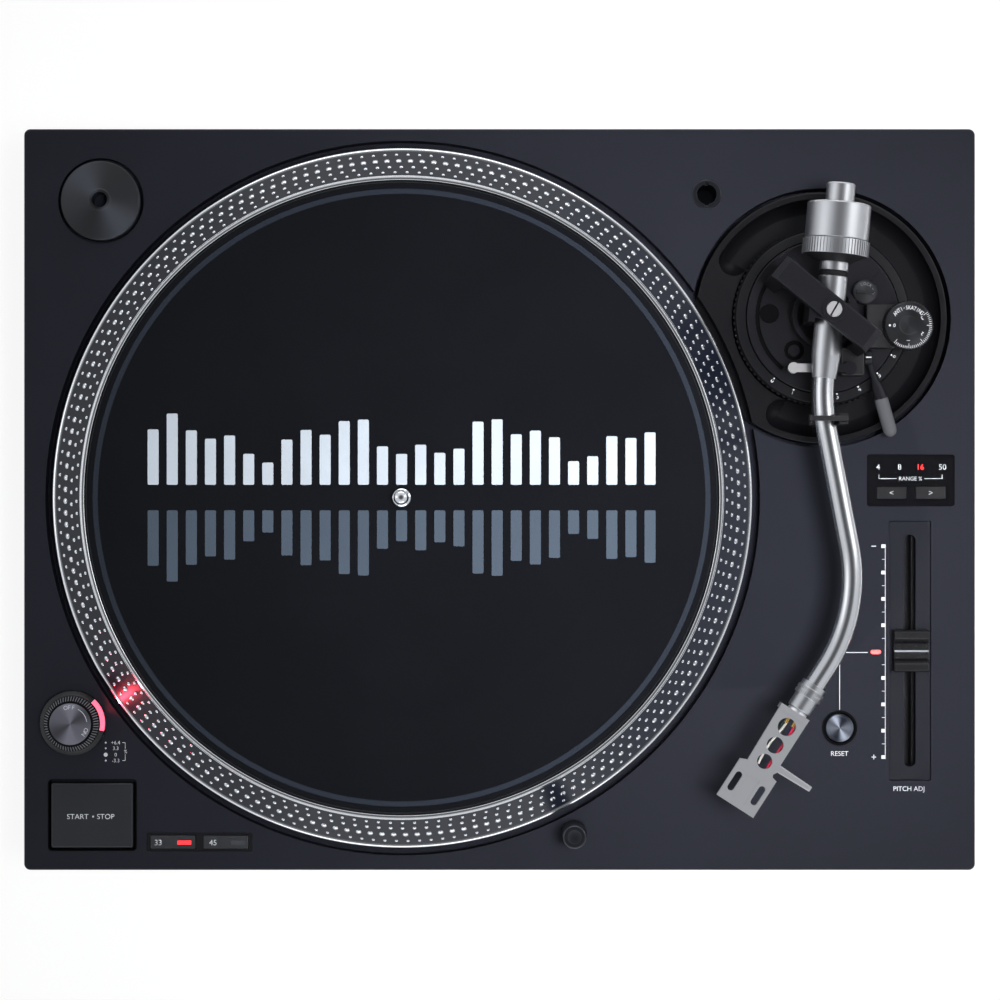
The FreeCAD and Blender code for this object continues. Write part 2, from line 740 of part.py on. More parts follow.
def foot(x, y):
    """A damped foot on a stud, which screws out of the base."""
    neck = 10.0
    return turned([
        (0, 0), (FOOT_R - 2, 0), (FOOT_R, 2), (FOOT_R, 11), (FOOT_R - 1.5, 12), (FOOT_R - 1.5, 13),
        (FOOT_R - 4, 19), (neck + 2, 22.5), (neck, 23), (neck, FOOT_GAP),
        (FOOT_STUD_R, FOOT_GAP), (FOOT_STUD_R, FOOT_GAP + FOOT_STUD_L), (0, FOOT_GAP + FOOT_STUD_L),
    ], x, y)


# Platter and motor

def platter():
    lip = DECK_Z + LIP_RISE
    rim = DECK_Z + RIM_RISE
    low = DECK_Z - SKIRT_DROP
    web = MAT_Z - PLATTER_WEB
    hub_r = MAGNET_R
    body = turned([
        (SPINDLE_HUB_R, MAT_Z), (SPINDLE_HUB_R, web), (hub_r, web), (hub_r, web - 2),
        (hub_r + 4, web - 2), (hub_r + 4, web), (PLATTER_R - SKIRT_W - 10, web),
        (PLATTER_R - SKIRT_W, web - 4), (PLATTER_R - SKIRT_W, low), (PLATTER_R - 1, low),
        (PLATTER_R - 1, lip - 4), (PLATTER_R, lip - 3), (PLATTER_R, lip), (PLATTER_R - LIP_W, lip),
        (RIM_OUT_R + 0.4, rim - 1.0), (RIM_OUT_R, rim), (RIM_IN_R, rim), (RIM_IN_R - 0.4, MAT_Z),
    ], PLATTER_X, PLATTER_Y)
    holes = [
        disc(LIFT_HOLE_R, web - 3, MAT_Z + 1, *spot(PLATTER_X, PLATTER_Y, angle, LIFT_HOLE_AT))
        for angle in (0, 180)
    ]
    return body.cut(holes)


def platter_damper():
    """Rubber layer under the web, clear of the lifting holes."""
    web = MAT_Z - PLATTER_WEB
    outer = PLATTER_R - SKIRT_W - 12
    body = washer(outer, MAGNET_R + 6, web - DAMPER_T, web, PLATTER_X, PLATTER_Y)
    holes = [
        disc(LIFT_HOLE_R + 1, web - DAMPER_T - 1, web + 1, *spot(PLATTER_X, PLATTER_Y, angle, LIFT_HOLE_AT))
        for angle in (0, 180)
    ]
    return body.cut(holes)


def rotor_magnet():
    web = MAT_Z - PLATTER_WEB
    return washer(MAGNET_R, MAGNET_R - MAGNET_W, web - MAGNET_H, web, PLATTER_X, PLATTER_Y)


def spindle():
    tip = DECK_Z + SPINDLE_RISE
    low = MAT_Z - SHAFT_L
    web = MAT_Z - PLATTER_WEB
    seat = MAT_Z + 2 * FREE_GAP + MAT_T
    body = turned([
        (0, low), (SHAFT_R - 1, low), (SHAFT_R, low + 1), (SHAFT_R, web - SPINDLE_FLANGE_T),
        (SPINDLE_FLANGE_R, web - SPINDLE_FLANGE_T), (SPINDLE_FLANGE_R, web), (SPINDLE_HUB_R, web),
        (SPINDLE_HUB_R, MAT_Z), (SPINDLE_SEAT_R, MAT_Z), (SPINDLE_SEAT_R, seat), (SPINDLE_R, seat),
        (SPINDLE_R, tip - SPINDLE_R * 0.8), (SPINDLE_R * 0.9, tip - SPINDLE_R * 0.42),
        (SPINDLE_R * 0.62, tip - SPINDLE_R * 0.14), (SPINDLE_R * 0.25, tip), (0, tip),
    ], PLATTER_X, PLATTER_Y)
    return body


def motor_floor():
    return PAN_Z - MOTOR_DEPTH


def motor_stator():
    """A cup under the well with a post for the bearing and a ring of coils."""
    floor = motor_floor()
    cup = washer(MOTOR_R - RUN_GAP, MOTOR_R - MOTOR_WALL, floor, PAN_Z + PAN_FLOOR - 1, PLATTER_X, PLATTER_Y)
    bottom = disc(MOTOR_R - RUN_GAP, floor, floor + MOTOR_WALL, PLATTER_X, PLATTER_Y)
    flange = washer(MOTOR_R + 7, MOTOR_R - MOTOR_WALL, PAN_Z - 3, PAN_Z, PLATTER_X, PLATTER_Y)
    post_r = SHAFT_R + RUN_GAP + BEARING_WALL
    post = disc(post_r + 4, floor - 8, floor + 14, PLATTER_X, PLATTER_Y)
    coils = []
    for i in range(COIL_COUNT):
        x, y = spot(PLATTER_X, PLATTER_Y, 360.0 * i / COIL_COUNT, COIL_RING_R)
        coils.append(disc(COIL_R, floor + MOTOR_WALL - 1, floor + MOTOR_WALL + COIL_H, x, y))
    body = cup.fuse([bottom, flange, post, *coils])
    return body.cut(disc(post_r, floor - 5, MAT_Z, PLATTER_X, PLATTER_Y)).removeSplitter()


def spindle_bearing():
    """A sleeve with a closed foot for the shaft."""
    bottom = MAT_Z - SHAFT_L
    wall_r = SHAFT_R + RUN_GAP + BEARING_WALL
    foot_z = motor_floor() - 5
    top = MAT_Z - PLATTER_WEB - SPINDLE_FLANGE_T - 2
    sleeve = disc(wall_r, foot_z, top, PLATTER_X, PLATTER_Y)
    return sleeve.cut(disc(SHAFT_R + RUN_GAP, bottom - FREE_GAP, top + 1, PLATTER_X, PLATTER_Y))


def slipmat():
    low = MAT_Z + FREE_GAP
    return washer(MAT_R, SPINDLE_SEAT_R + FREE_GAP, low, low + MAT_T, PLATTER_X, PLATTER_Y)


# Controls

def start_stop_button():
    top = DECK_Z + START_RISE
    cap = plate(START_X, START_Y, START_W, START_D, POCKET_Z + 3, top, 1.0)
    cap = cap.makeChamfer(0.5, edges_at(cap, top))
    stem = disc(STEM_R, POCKET_Z - POCKET_WALL - 2, POCKET_Z + 4, START_X, START_Y)
    return cap.fuse(stem)


def reset_button():
    """A round button with a raised edge and a dished face."""
    top = DECK_Z + START_RISE
    return turned([
        (0, POCKET_Z - POCKET_WALL - 2), (STEM_R, POCKET_Z - POCKET_WALL - 2), (STEM_R, POCKET_Z + 2.5),
        (RESET_R, POCKET_Z + 2.5), (RESET_R, top - 0.5), (RESET_R - 0.5, top), (RESET_R - 1.0, top),
        (0, top - 0.4),
    ], RESET_X, RESET_Y)


def speed_spots():
    return {"33": SPEED_X - SPEED_PITCH / 2, "45": SPEED_X + SPEED_PITCH / 2}


def under_deck(flange):
    """A flange under the deck, trimmed clear of the walls and of the platter's pan."""
    room = plate(
        0, 0, PLINTH_W - 2 * DECK_WALL - 2 * FREE_GAP, PLINTH_D - 2 * DECK_WALL - 2 * FREE_GAP,
        SEAM_Z, UNDER_DECK_Z,
    )
    pan = disc(WELL_R + PAN_WALL + FREE_GAP, SEAM_Z, DECK_Z, PLATTER_X, PLATTER_Y)
    return flange.common(room).cut(pan)


def speed_bezel():
    body = plate(
        SPEED_X, SPEED_Y, SPEED_BEZEL_W - SLIDE_GAP, SPEED_BEZEL_D - SLIDE_GAP,
        INSERT_Z, DECK_Z - BEZEL_SINK, 0.8,
    )
    lap = FLANGE_LAP / 2
    flange = plate(
        SPEED_X, SPEED_Y, SPEED_BEZEL_W + 2 * lap, SPEED_BEZEL_D + 4 * lap, INSERT_Z, UNDER_DECK_Z)
    body = body.fuse(under_deck(flange))
    cuts = []
    for x in speed_spots().values():
        cuts.append(plate(
            x, SPEED_Y, SPEED_BUTTON_W + 2 * SLIDE_GAP, SPEED_BUTTON_D + 2 * SLIDE_GAP,
            INSERT_Z + 2, DECK_Z + 1, 0.4,
        ))
        cuts.append(disc(1.5 + RUN_GAP, INSERT_Z - 1, INSERT_Z + 3, x, SPEED_Y))
    return body.cut(cuts)


def small_button(x, y, width, depth, top, low):
    """A key with eased edges on a round stem through its bezel."""
    cap = plate(x, y, width, depth, low + 3.5, top, 0.4)
    cap = cap.makeChamfer(0.35, edges_at(cap, top))
    return cap.fuse(disc(1.5, low - 1.5, low + 4, x, y))


def pitch_panel():
    body = plate(
        PITCH_X, PITCH_Y, PITCH_PANEL_W - 2 * SLIDE_GAP, PITCH_PANEL_D - 2 * SLIDE_GAP,
        INSERT_Z, PITCH_FACE_Z, 0.8,
    )
    slot = plate(PITCH_X, PITCH_Y, PITCH_SLOT_W, PITCH_SLOT_D, INSERT_Z - 1, DECK_Z, PITCH_SLOT_W / 2 - 0.01)
    flange = plate(
        PITCH_X, PITCH_Y, PITCH_PANEL_W + 2 * FLANGE_LAP, PITCH_PANEL_D + 2 * FLANGE_LAP,
        INSERT_Z, UNDER_DECK_Z,
    )
    return body.fuse(under_deck(flange)).cut(slot).removeSplitter()


def fader_body():
    """The slide potentiometer under the panel, open along its top for the knob's stem."""
    depth = PITCH_PANEL_D - 4 - 2 * SLIDE_GAP
    low = INSERT_Z - FADER_BODY_H
    body = plate(PITCH_X, PITCH_Y, FADER_BODY_W - 2 * SLIDE_GAP, depth, low, INSERT_Z)
    channel = plate(PITCH_X, PITCH_Y, FADER_STEM_W + 2 * RUN_GAP, PITCH_SLOT_D, low + 3, INSERT_Z + 1)
    return body.cut(channel)


def pitch_knob():
    """A fader cap with a ridge across the middle and a scoop on each side of it."""
    low = PITCH_FACE_Z + FREE_GAP
    top = low + FADER_KNOB_H
    half = FADER_KNOB_D / 2
    profile = [
        (-half, low), (-half, top - 1.5), (-half + 1, top), (-half + 4, top - 0.6), (-3.6, top - 3.6),
        (-3.6, top - 2.0), (3.6, top - 2.0), (3.6, top - 3.6), (half - 4, top - 0.6), (half - 1, top),
        (half, top - 1.5), (half, low),
    ]
    face = outline([vec(PITCH_X - FADER_KNOB_W / 2, PITCH_Y + y, z) for y, z in profile])
    cap = face.extrude(vec(FADER_KNOB_W, 0, 0))
    stem_low = INSERT_Z - FADER_BODY_H + 4
    stem = plate(PITCH_X, PITCH_Y, FADER_STEM_W, FADER_STEM_D, stem_low, low + 1)
    return cap.fuse(stem)


def range_spots():
    return {
        "left": RANGE_X - RANGE_BUTTON_PITCH / 2,
        "right": RANGE_X + RANGE_BUTTON_PITCH / 2,
    }


def range_panel():
    top = DECK_Z + RANGE_RISE
    body = plate(
        RANGE_X, RANGE_Y, RANGE_W - SLIDE_GAP, RANGE_D - SLIDE_GAP, INSERT_Z, top, 1.2,
    )
    flange = plate(
        RANGE_X, RANGE_Y, RANGE_W + 2 * FLANGE_LAP, RANGE_D + 2 * FLANGE_LAP, INSERT_Z, UNDER_DECK_Z)
    body = body.fuse(under_deck(flange))
    cuts = []
    for x in range_spots().values():
        y = RANGE_Y - RANGE_BUTTON_BACK
        cuts.append(plate(
            x, y, RANGE_BUTTON_W + 2 * SLIDE_GAP, RANGE_BUTTON_D + 2 * SLIDE_GAP,
            INSERT_Z + 2, top + 1, 0.4,
        ))
        cuts.append(disc(1.5 + RUN_GAP, INSERT_Z - 1, INSERT_Z + 3, x, y))
    return body.cut(cuts)


def strobe_housing():
    top = DECK_Z + STROBE_H
    body = turned([
        (0, SEAM_Z + 4), (STROBE_R - 2, SEAM_Z + 4), (STROBE_R - 2, DECK_Z), (STROBE_R, DECK_Z),
        (STROBE_R, top - STROBE_SHOULDER), (STROBE_R - STROBE_SHOULDER, top), (0, top),
    ], STROBE_X, STROBE_Y)
    window = sector(
        STROBE_R + 1, STROBE_R - WINDOW_T, WINDOW_FROM_DEG, WINDOW_TO_DEG,
        top - WINDOW_H, top + 1, STROBE_X, STROBE_Y,
    )
    shaft = disc(STEM_R + RUN_GAP, top - 6, top + 1, STROBE_X, STROBE_Y)
    return body.cut([window, shaft])


def strobe_window():
    """The lamp's red window, which follows the housing's shoulder."""
    top = DECK_Z + STROBE_H
    ring = turned([
        (STROBE_R - WINDOW_T + RUN_GAP, top - WINDOW_H), (STROBE_R - 0.1, top - WINDOW_H),
        (STROBE_R - 0.1, top - STROBE_SHOULDER - 0.1), (STROBE_R - STROBE_SHOULDER + 0.1, top - 0.2),
        (STROBE_R - WINDOW_T + RUN_GAP, top - 0.2),
    ], STROBE_X, STROBE_Y)
    wedge = sector(
        STROBE_R + 1, STROBE_R - WINDOW_T - 1, WINDOW_FROM_DEG + 0.3, WINDOW_TO_DEG - 0.3,
        top - WINDOW_H - 1, top + 1, STROBE_X, STROBE_Y,
    )
    return ring.common(wedge)


def power_knob():
    low = DECK_Z + STROBE_H + FREE_GAP
    top = low + POWER_H
    body = ribbed(POWER_R, 0.5, POWER_RIBS, low, top, STROBE_X, STROBE_Y)
    cone = turned([
        (0, low), (POWER_R, low), (POWER_R, low + 1.2),
        (POWER_TOP_R, top - 0.3), (POWER_TOP_R, top), (0, top),
    ], STROBE_X, STROBE_Y)
    stem = disc(STEM_R, DECK_Z + STROBE_H - 5, low + 1, STROBE_X, STROBE_Y)
    return body.common(cone).fuse(stem)


def light_sleeve():
    outer = LIGHT_R + RUN_GAP + SLEEVE_WALL
    low = DECK_Z - LIGHT_L + LIGHT_RISE - 18
    bore = LIGHT_R + RUN_GAP
    sleeve = washer(outer - GLUE_GAP, bore, low, DECK_Z + 0.3, LIGHT_X, LIGHT_Y)
    flange = washer(outer + FLANGE_LAP, bore, INSERT_Z, UNDER_DECK_Z, LIGHT_X, LIGHT_Y)
    return sleeve.fuse(under_deck(flange))


def target_light():
    """The pop-up barrel, with the lamp's hole in the side that faces the platter."""
    top = DECK_Z + LIGHT_RISE
    body = turned([
        (0, top - LIGHT_L), (LIGHT_R, top - LIGHT_L), (LIGHT_R, top - 0.6), (LIGHT_R - 0.6, top), (0, top),
    ], LIGHT_X, LIGHT_Y)
    lamp = rod(2.2, vec(LIGHT_X, LIGHT_Y, top - 6), vec(0, 1, 0), LIGHT_R + 1)
    return body.cut(lamp)


def adapter_45():
    low = DECK_Z - ADAPTER_SINK
    top = low + ADAPTER_H
    return turned([
        (ADAPTER_BORE_R, low), (ADAPTER_R, low), (ADAPTER_R, top - 4.5), (ADAPTER_R - 0.6, top - 3.9),
        (ADAPTER_BORE_R + 1.6, top - 0.3), (ADAPTER_BORE_R + 1.2, top), (ADAPTER_BORE_R, top),
    ], ADAPTER_X, ADAPTER_Y)


def shell_stand():
    """A flanged sleeve with two keyways for a headshell's locating pin."""
    top = DECK_Z + 0.2
    low = DECK_Z - STAND_DEPTH - 2
    body = turned([
        (0, low), (STAND_R, low), (STAND_R, DECK_Z - STAND_LIP), (STAND_FLANGE_R, DECK_Z - STAND_LIP),
        (STAND_FLANGE_R, top - 0.3), (STAND_FLANGE_R - 0.3, top), (STAND_BORE_R, top),
        (STAND_BORE_R, top - STAND_DEPTH), (0, top - STAND_DEPTH),
    ], STAND_X, STAND_Y)
    key = plate(STAND_X, STAND_Y, 1.8, 2 * STAND_BORE_R + 2.0, top - 5, top + 1)
    return body.cut(key)


# Parts held inside the base

def control_board():
    """A board on four posts, with the larger parts that stand on it."""
    floor = FOOT_GAP + BASE_FLOOR
    board_z = floor + BOARD_POST_H
    x0 = LEFT + BOARD_FROM_LEFT
    y0 = FRONT + BOARD_FROM_FRONT
    shapes = [slab(x0, x0 + BOARD_W, y0, y0 + BOARD_D, board_z, board_z + BOARD_T)]
    for u in (0.05, 0.95):
        for v in (0.1, 0.9):
            shapes.append(disc(3.0, floor, board_z + 0.5, x0 + BOARD_W * u, y0 + BOARD_D * v))
    for u, v, wide, deep, tall in (
        (0.3, 0.33, 0.18, 0.36, 0.6), (0.6, 0.4, 0.13, 0.26, 0.5), (0.35, 0.77, 0.1, 0.2, 2.0),
        (0.5, 0.77, 0.1, 0.2, 2.0), (0.8, 0.63, 0.07, 0.5, 1.5),
    ):
        shapes.append(plate(
            x0 + BOARD_W * u, y0 + BOARD_D * v, BOARD_W * wide, BOARD_D * deep, board_z + 1,
            board_z + BOARD_T + BOARD_POST_H * tall,
        ))
    return joined(shapes)


def power_supply():
    """A mains transformer: a laminated core with its winding and two feet."""
    floor = FOOT_GAP + BASE_FLOOR
    x = INLET_X
    y = REAR - CORE_FROM_REAR
    core = plate(x, y, CORE_W, CORE_D, floor + 1, floor + 1 + CORE_H)
    winding = plate(x, y, WINDING_W, WINDING_D, floor + CORE_H * 0.2, floor + CORE_H * 0.9, 5.0)
    feet = plate(x, y, CORE_FEET_W, CORE_D * 0.6, floor, floor + 2.5)
    return joined([core, winding, feet])


# Rear connectors

def jack_wall_y():
    return REAR - JACK_POCKET_DEPTH


def phono_jacks():
    """Two coaxial jacks on one carrier behind the pocket's wall."""
    wall = 3.0
    back = jack_wall_y() - wall
    carrier = slab(
        JACK_X - JACK_PITCH, JACK_X + JACK_PITCH, back - 8, back, REAR_MID_Z - 7, REAR_MID_Z + 7,
    )
    body = carrier
    for x in (JACK_X - JACK_PITCH / 2, JACK_X + JACK_PITCH / 2):
        collar = rod(JACK_COLLAR_R, vec(x, back - 1, REAR_MID_Z), vec(0, 1, 0), wall + 1)
        barrel = rod(JACK_R, vec(x, jack_wall_y() - 1, REAR_MID_Z), vec(0, 1, 0), JACK_L + 1)
        body = body.fuse([collar, barrel])
    for x in (JACK_X - JACK_PITCH / 2, JACK_X + JACK_PITCH / 2):
        bore = rod(JACK_BORE_R, vec(x, back - 5, REAR_MID_Z), vec(0, 1, 0), wall + 6 + JACK_L)
        body = body.cut(bore)
    return body


def ground_terminal():
    """A knurled nut on a stud that stands out of the pocket's wall."""
    x = JACK_X + JACK_POCKET_W / 2 - GROUND_FROM_END
    y = jack_wall_y()
    stud = rod(2.0, vec(x, y, REAR_MID_Z), vec(0, 1, 0), 9)
    nut = ribbed(GROUND_R, 0.4, 24, 0, 4.5)
    nut.Placement = FreeCAD.Placement(vec(x, y + 1.5, REAR_MID_Z), FreeCAD.Rotation(UP, vec(0, 1, 0)))
    return stud.fuse(nut)


def ac_inlet():
    """A two-pin mains socket flush with the rear face."""
    face = REAR - SEAM_STEP - 0.4
    back = REAR - INLET_DEPTH - 3.0
    body = slab(
        INLET_X - INLET_W / 2 + SLIDE_GAP, INLET_X + INLET_W / 2 - SLIDE_GAP, back, face,
        REAR_MID_Z - INLET_H / 2 + SLIDE_GAP, REAR_MID_Z + INLET_H / 2 - SLIDE_GAP,
    )
    socket = plate(INLET_X, 0, INLET_SOCKET_W, INLET_SOCKET_H, 0, INLET_DEPTH + 1, INLET_SOCKET_H / 2 - 0.05)
    socket.Placement = FreeCAD.Placement(
        vec(INLET_X, face - INLET_DEPTH, REAR_MID_Z), FreeCAD.Rotation(vec(1, 0, 0), -90), vec(0, 0, 0),
    ).multiply(FreeCAD.Placement(vec(-INLET_X, 0, 0), FreeCAD.Rotation()))
    pins = [
        rod(INLET_PIN_R, vec(x, face - INLET_DEPTH - 1, REAR_MID_Z), vec(0, 1, 0), INLET_DEPTH - 2)
        for x in (INLET_X - INLET_PIN_PITCH / 2, INLET_X + INLET_PIN_PITCH / 2)
    ]
    return body.cut(socket).fuse(pins)


# Arm base

def trough_half(reach, low, top, tail):
    """Half of the trough's section: its curved wall, and a tail of flat floor to the inner side."""
    foot = reach - TROUGH_HALF_W + TROUGH_FLAT
    arc = Part.Arc(vec(reach, 0, top), vec(reach - 2.0, 0, low + 3.0), vec(foot, 0, low))
    points = [(foot, low), (tail, low), (tail, top + 2), (reach, top + 2), (reach, top)]
    sides = [
        Part.makeLine(vec(a[0], 0, a[1]), vec(b[0], 0, b[1])) for a, b in zip(points, points[1:])
    ]
    return Part.Face(Part.Wire([arc.toShape(), *sides]))


def trough():
    """The finger trough: a curved channel round the height ring, with round ends."""
    top = DECK_Z + ARM_BASE_RISE
    low = top - TROUGH_DEPTH
    section = trough_half(TROUGH_R, low, top, RING_SEAT_R - 1)
    channel = section.revolve(vec(0, 0), UP, TROUGH_TO_DEG - TROUGH_FROM_DEG)
    channel.rotate(vec(0, 0), UP, TROUGH_FROM_DEG)
    channel.translate(vec(ARM_X, ARM_Y))
    ends = []
    for angle, turn in ((TROUGH_FROM_DEG, -180), (TROUGH_TO_DEG, 180)):
        bowl = trough_half(TROUGH_HALF_W, low, top, 0).revolve(vec(0, 0), UP, turn)
        bowl.rotate(vec(0, 0), UP, angle)
        bowl.translate(vec(*spot(ARM_X, ARM_Y, angle, TROUGH_R - TROUGH_HALF_W)))
        ends.append(bowl)
    return channel.fuse(ends)


def arm_base_plate():
    top = DECK_Z + ARM_BASE_RISE
    body = disc(ARM_BASE_R, ARM_WELL_Z, top, ARM_X, ARM_Y)
    body = body.makeFillet(0.8, edges_at(body, top))
    cuts = [
        trough(),
        disc(RING_SEAT_R, RING_FLOOR_Z, top + 1, ARM_X, ARM_Y),
        disc(STEM_BORE_R, ARM_WELL_Z - 1, top, ARM_X, ARM_Y),
        disc(WELL_R, WELL_FLOOR_Z, top + 1, PLATTER_X, PLATTER_Y),
    ]
    return body.cut(cuts)


def height_ring():
    low = RING_FLOOR_Z + SLIDE_GAP
    top = DECK_Z + RING_RISE
    outer = ribbed(RING_R, RING_RIB_DEPTH, RING_RIBS, low, top, ARM_X, ARM_Y)
    form = turned([
        (STEM_BORE_R + 1, low), (RING_R, low), (RING_R, top - 2.6), (RING_R - 1.4, top - 0.9),
        (RING_INNER_R, top), (RING_INNER_R, low + 5), (STEM_BORE_R + 1, low + 5),
    ], ARM_X, ARM_Y)
    return outer.common(form)


def arm_mount_plate():
    low = MOUNT_Z - MOUNT_PLATE_T
    stem_low = ARM_WELL_Z + 2
    stem_r = STEM_BORE_R - RUN_GAP
    body = turned([
        (stem_r - 4, stem_low), (stem_r, stem_low), (stem_r, low),
        (MOUNT_R, low), (MOUNT_R, MOUNT_Z - 0.5), (MOUNT_R - 0.5, MOUNT_Z), (CUP_R, MOUNT_Z),
        (CUP_R, CUP_TOP_Z), (CUP_R - CUP_WALL, CUP_TOP_Z), (CUP_R - CUP_WALL, MOUNT_Z + 2),
        (POST_R, MOUNT_Z + 2), (POST_R, CUP_TOP_Z), (YAW_PIN_R + 1 + RUN_GAP, CUP_TOP_Z),
        (YAW_PIN_R + 1 + RUN_GAP, CUP_TOP_Z - 8), (0, CUP_TOP_Z - 8), (0, MOUNT_Z - 5),
        (stem_r - 4, MOUNT_Z - 5),
    ], ARM_X, ARM_Y)
    slot = sector(MOUNT_R - 4.0, MOUNT_R - 6.0, 152, 232, MOUNT_Z - 1.5, MOUNT_Z + 1, ARM_X, ARM_Y)
    tab = disc(PLATE_TAB_R, MOUNT_Z - 1.2, MOUNT_Z + 1, ARM_X - PLATE_TAB_LEFT, ARM_Y + 1.5)
    well = disc(4.8, MOUNT_Z - 2.5, MOUNT_Z + 1, *plate_screw_spot())
    lock_hole = disc(2.0 + RUN_GAP, MOUNT_Z - 4.5, MOUNT_Z + 1, ARM_X + LOCK_X, ARM_Y + LOCK_Y)
    guide = beam(
        vec(ARM_X + LOCK_X, ARM_Y + LOCK_Y), vec(0.7071, 0.7071), vec(0.7071, -0.7071),
        LOCK_R + 0.5, LOCK_R + 7.0, -2.0, 2.0, MOUNT_Z - 1, MOUNT_Z + 1.5,
    ).common(disc(MOUNT_R - 0.5, MOUNT_Z - 1, MOUNT_Z + 2, ARM_X, ARM_Y))
    body = body.cut([slot, tab, well])
    return body.fuse(guide).cut(lock_hole)


def plate_screw_spot():
    return ARM_X - PLATE_SCREW_LEFT, ARM_Y - PLATE_SCREW_FRONT


def bridge_frame():
    """Start, direction and side of the bridge."""
    angle = math.radians(BRIDGE_ANGLE)
    return vec(ARM_X, ARM_Y), vec(math.cos(angle), math.sin(angle)), vec(-math.sin(angle), math.cos(angle))


def gimbal_bridge():
    start, along_bar, across = bridge_frame()
    half = BRIDGE_W / 2
    top = BRIDGE_Z + BRIDGE_T
    c = BRIDGE_CHAMFER
    outer = [
        (-BRIDGE_REACH_REAR, MOUNT_Z), (-BRIDGE_REACH_REAR, top - c), (-BRIDGE_REACH_REAR + c, top),
        (BRIDGE_REACH_FRONT - c, top), (BRIDGE_REACH_FRONT, top - c), (BRIDGE_REACH_FRONT, MOUNT_Z),
        (BRIDGE_REACH_FRONT - BRIDGE_LEG, MOUNT_Z), (BRIDGE_REACH_FRONT - BRIDGE_LEG, BRIDGE_Z - 1.5),
        (BRIDGE_REACH_FRONT - BRIDGE_LEG - 1.5, BRIDGE_Z), (-BRIDGE_REACH_REAR + BRIDGE_LEG + 4, BRIDGE_Z),
        (-BRIDGE_REACH_REAR + BRIDGE_LEG, BRIDGE_Z - 4), (-BRIDGE_REACH_REAR + BRIDGE_LEG, MOUNT_Z),
    ]
    face = outline([start + along_bar * u - across * half + UP * z for u, z in outer])
    body = face.extrude(across * BRIDGE_W)
    long_edges = [
        e for e in body.Edges
        if all(abs(v.Z - top) < 1e-6 for v in e.Vertexes) and e.Length > BRIDGE_W + 1
    ]
    body = body.makeFillet(1.0, long_edges)
    boss = disc(BRIDGE_BOSS_R, BRIDGE_Z, top + 0.8, ARM_X, ARM_Y)
    hole = disc(YAW_PIN_R + 0.7, BRIDGE_Z - 1, top + 2, ARM_X, ARM_Y)
    beside = slab(
        LIFT_X - LIFT_BLOCK_W, LIFT_X + LIFT_BLOCK_W, LIFT_Y - LIFT_BLOCK_D,
        LIFT_Y + LIFT_BLOCK_D / 2 + FREE_GAP, MOUNT_Z - 1, LIFT_BLOCK_TOP + 1,
    )
    return body.fuse(boss).cut([hole, beside])


def bridge_clearance(low, high):
    """The room that the bridge's front leg takes, with its clearance."""
    start, along_bar, across = bridge_frame()
    half = BRIDGE_W / 2 + FREE_GAP
    leg = BRIDGE_REACH_FRONT - BRIDGE_LEG - FREE_GAP
    return beam(start, along_bar, across, leg, BRIDGE_REACH_FRONT + FREE_GAP, -half, half, low, high)


def slotted_screw(radius, low, high, x, y, angle):
    head = turned([
        (0, low), (radius, low), (radius, high - 0.4), (radius - 0.4, high), (0, high),
    ], x, y)
    slot = slab(x - radius - 1, x + radius + 1, y - 0.4, y + 0.4, high - 0.7, high + 1)
    slot.rotate(vec(x, y), UP, angle)
    return head.cut(slot)


def arm_screws():
    """The upper pivot screw in the bridge, and the slotted screw in the mount plate."""
    top = BRIDGE_Z + BRIDGE_T + 0.8
    head = slotted_screw(BRIDGE_SCREW_R, top, top + 1.4, ARM_X, ARM_Y, 60)
    thread = disc(YAW_PIN_R + 0.7, BRIDGE_Z, top + 0.2, ARM_X, ARM_Y)
    tip = disc(YAW_PIN_R, GIMBAL_BAR_Z + 0.4, BRIDGE_Z + 1, ARM_X, ARM_Y)
    x, y = plate_screw_spot()
    small = slotted_screw(2.9, MOUNT_Z - 2.5, MOUNT_Z - 0.3, x, y, 30)
    return Part.makeCompound([head.fuse([thread, tip]), small])


def gimbal_ring():
    """A yoke round the arm housing: two cheeks, a bar above and a foot with the lower pivot."""
    start = vec(ARM_X, ARM_Y)
    front = arm_front()
    side = arm_side()
    half = GIMBAL_CHEEK_L / 2
    outer = CHEEK_IN + GIMBAL_CHEEK_T
    bar_top = GIMBAL_BAR_Z + GIMBAL_BAR_T
    shapes = [
        beam(start, front, side, -half, half, -outer, -CHEEK_IN, GIMBAL_FOOT_Z, bar_top),
        beam(start, front, side, -half, half, CHEEK_IN, outer, GIMBAL_FOOT_Z, bar_top),
        beam(start, front, side, -4, 4, -outer, outer, GIMBAL_BAR_Z, bar_top),
        beam(start, front, side, -half, half, -outer, outer, GIMBAL_FOOT_Z, GIMBAL_FOOT_Z + 3),
        disc(POST_R - 1.5, CUP_TOP_Z + FREE_GAP, GIMBAL_FOOT_Z + 1, ARM_X, ARM_Y),
        disc(YAW_PIN_R + 1, CUP_TOP_Z - 7, CUP_TOP_Z + 1, ARM_X, ARM_Y),
    ]
    body = joined(shapes)
    body = body.cut(disc(YAW_PIN_R + RUN_GAP, GIMBAL_BAR_Z - 1, bar_top + 1, ARM_X, ARM_Y))
    centre = arm_point(0)
    for sign in (-1, 1):
        direction = side * sign
        body = body.fuse(rod(PITCH_PIN_R, centre + direction * (HOUSING_R - 2.2), direction, 4.5))
    return body


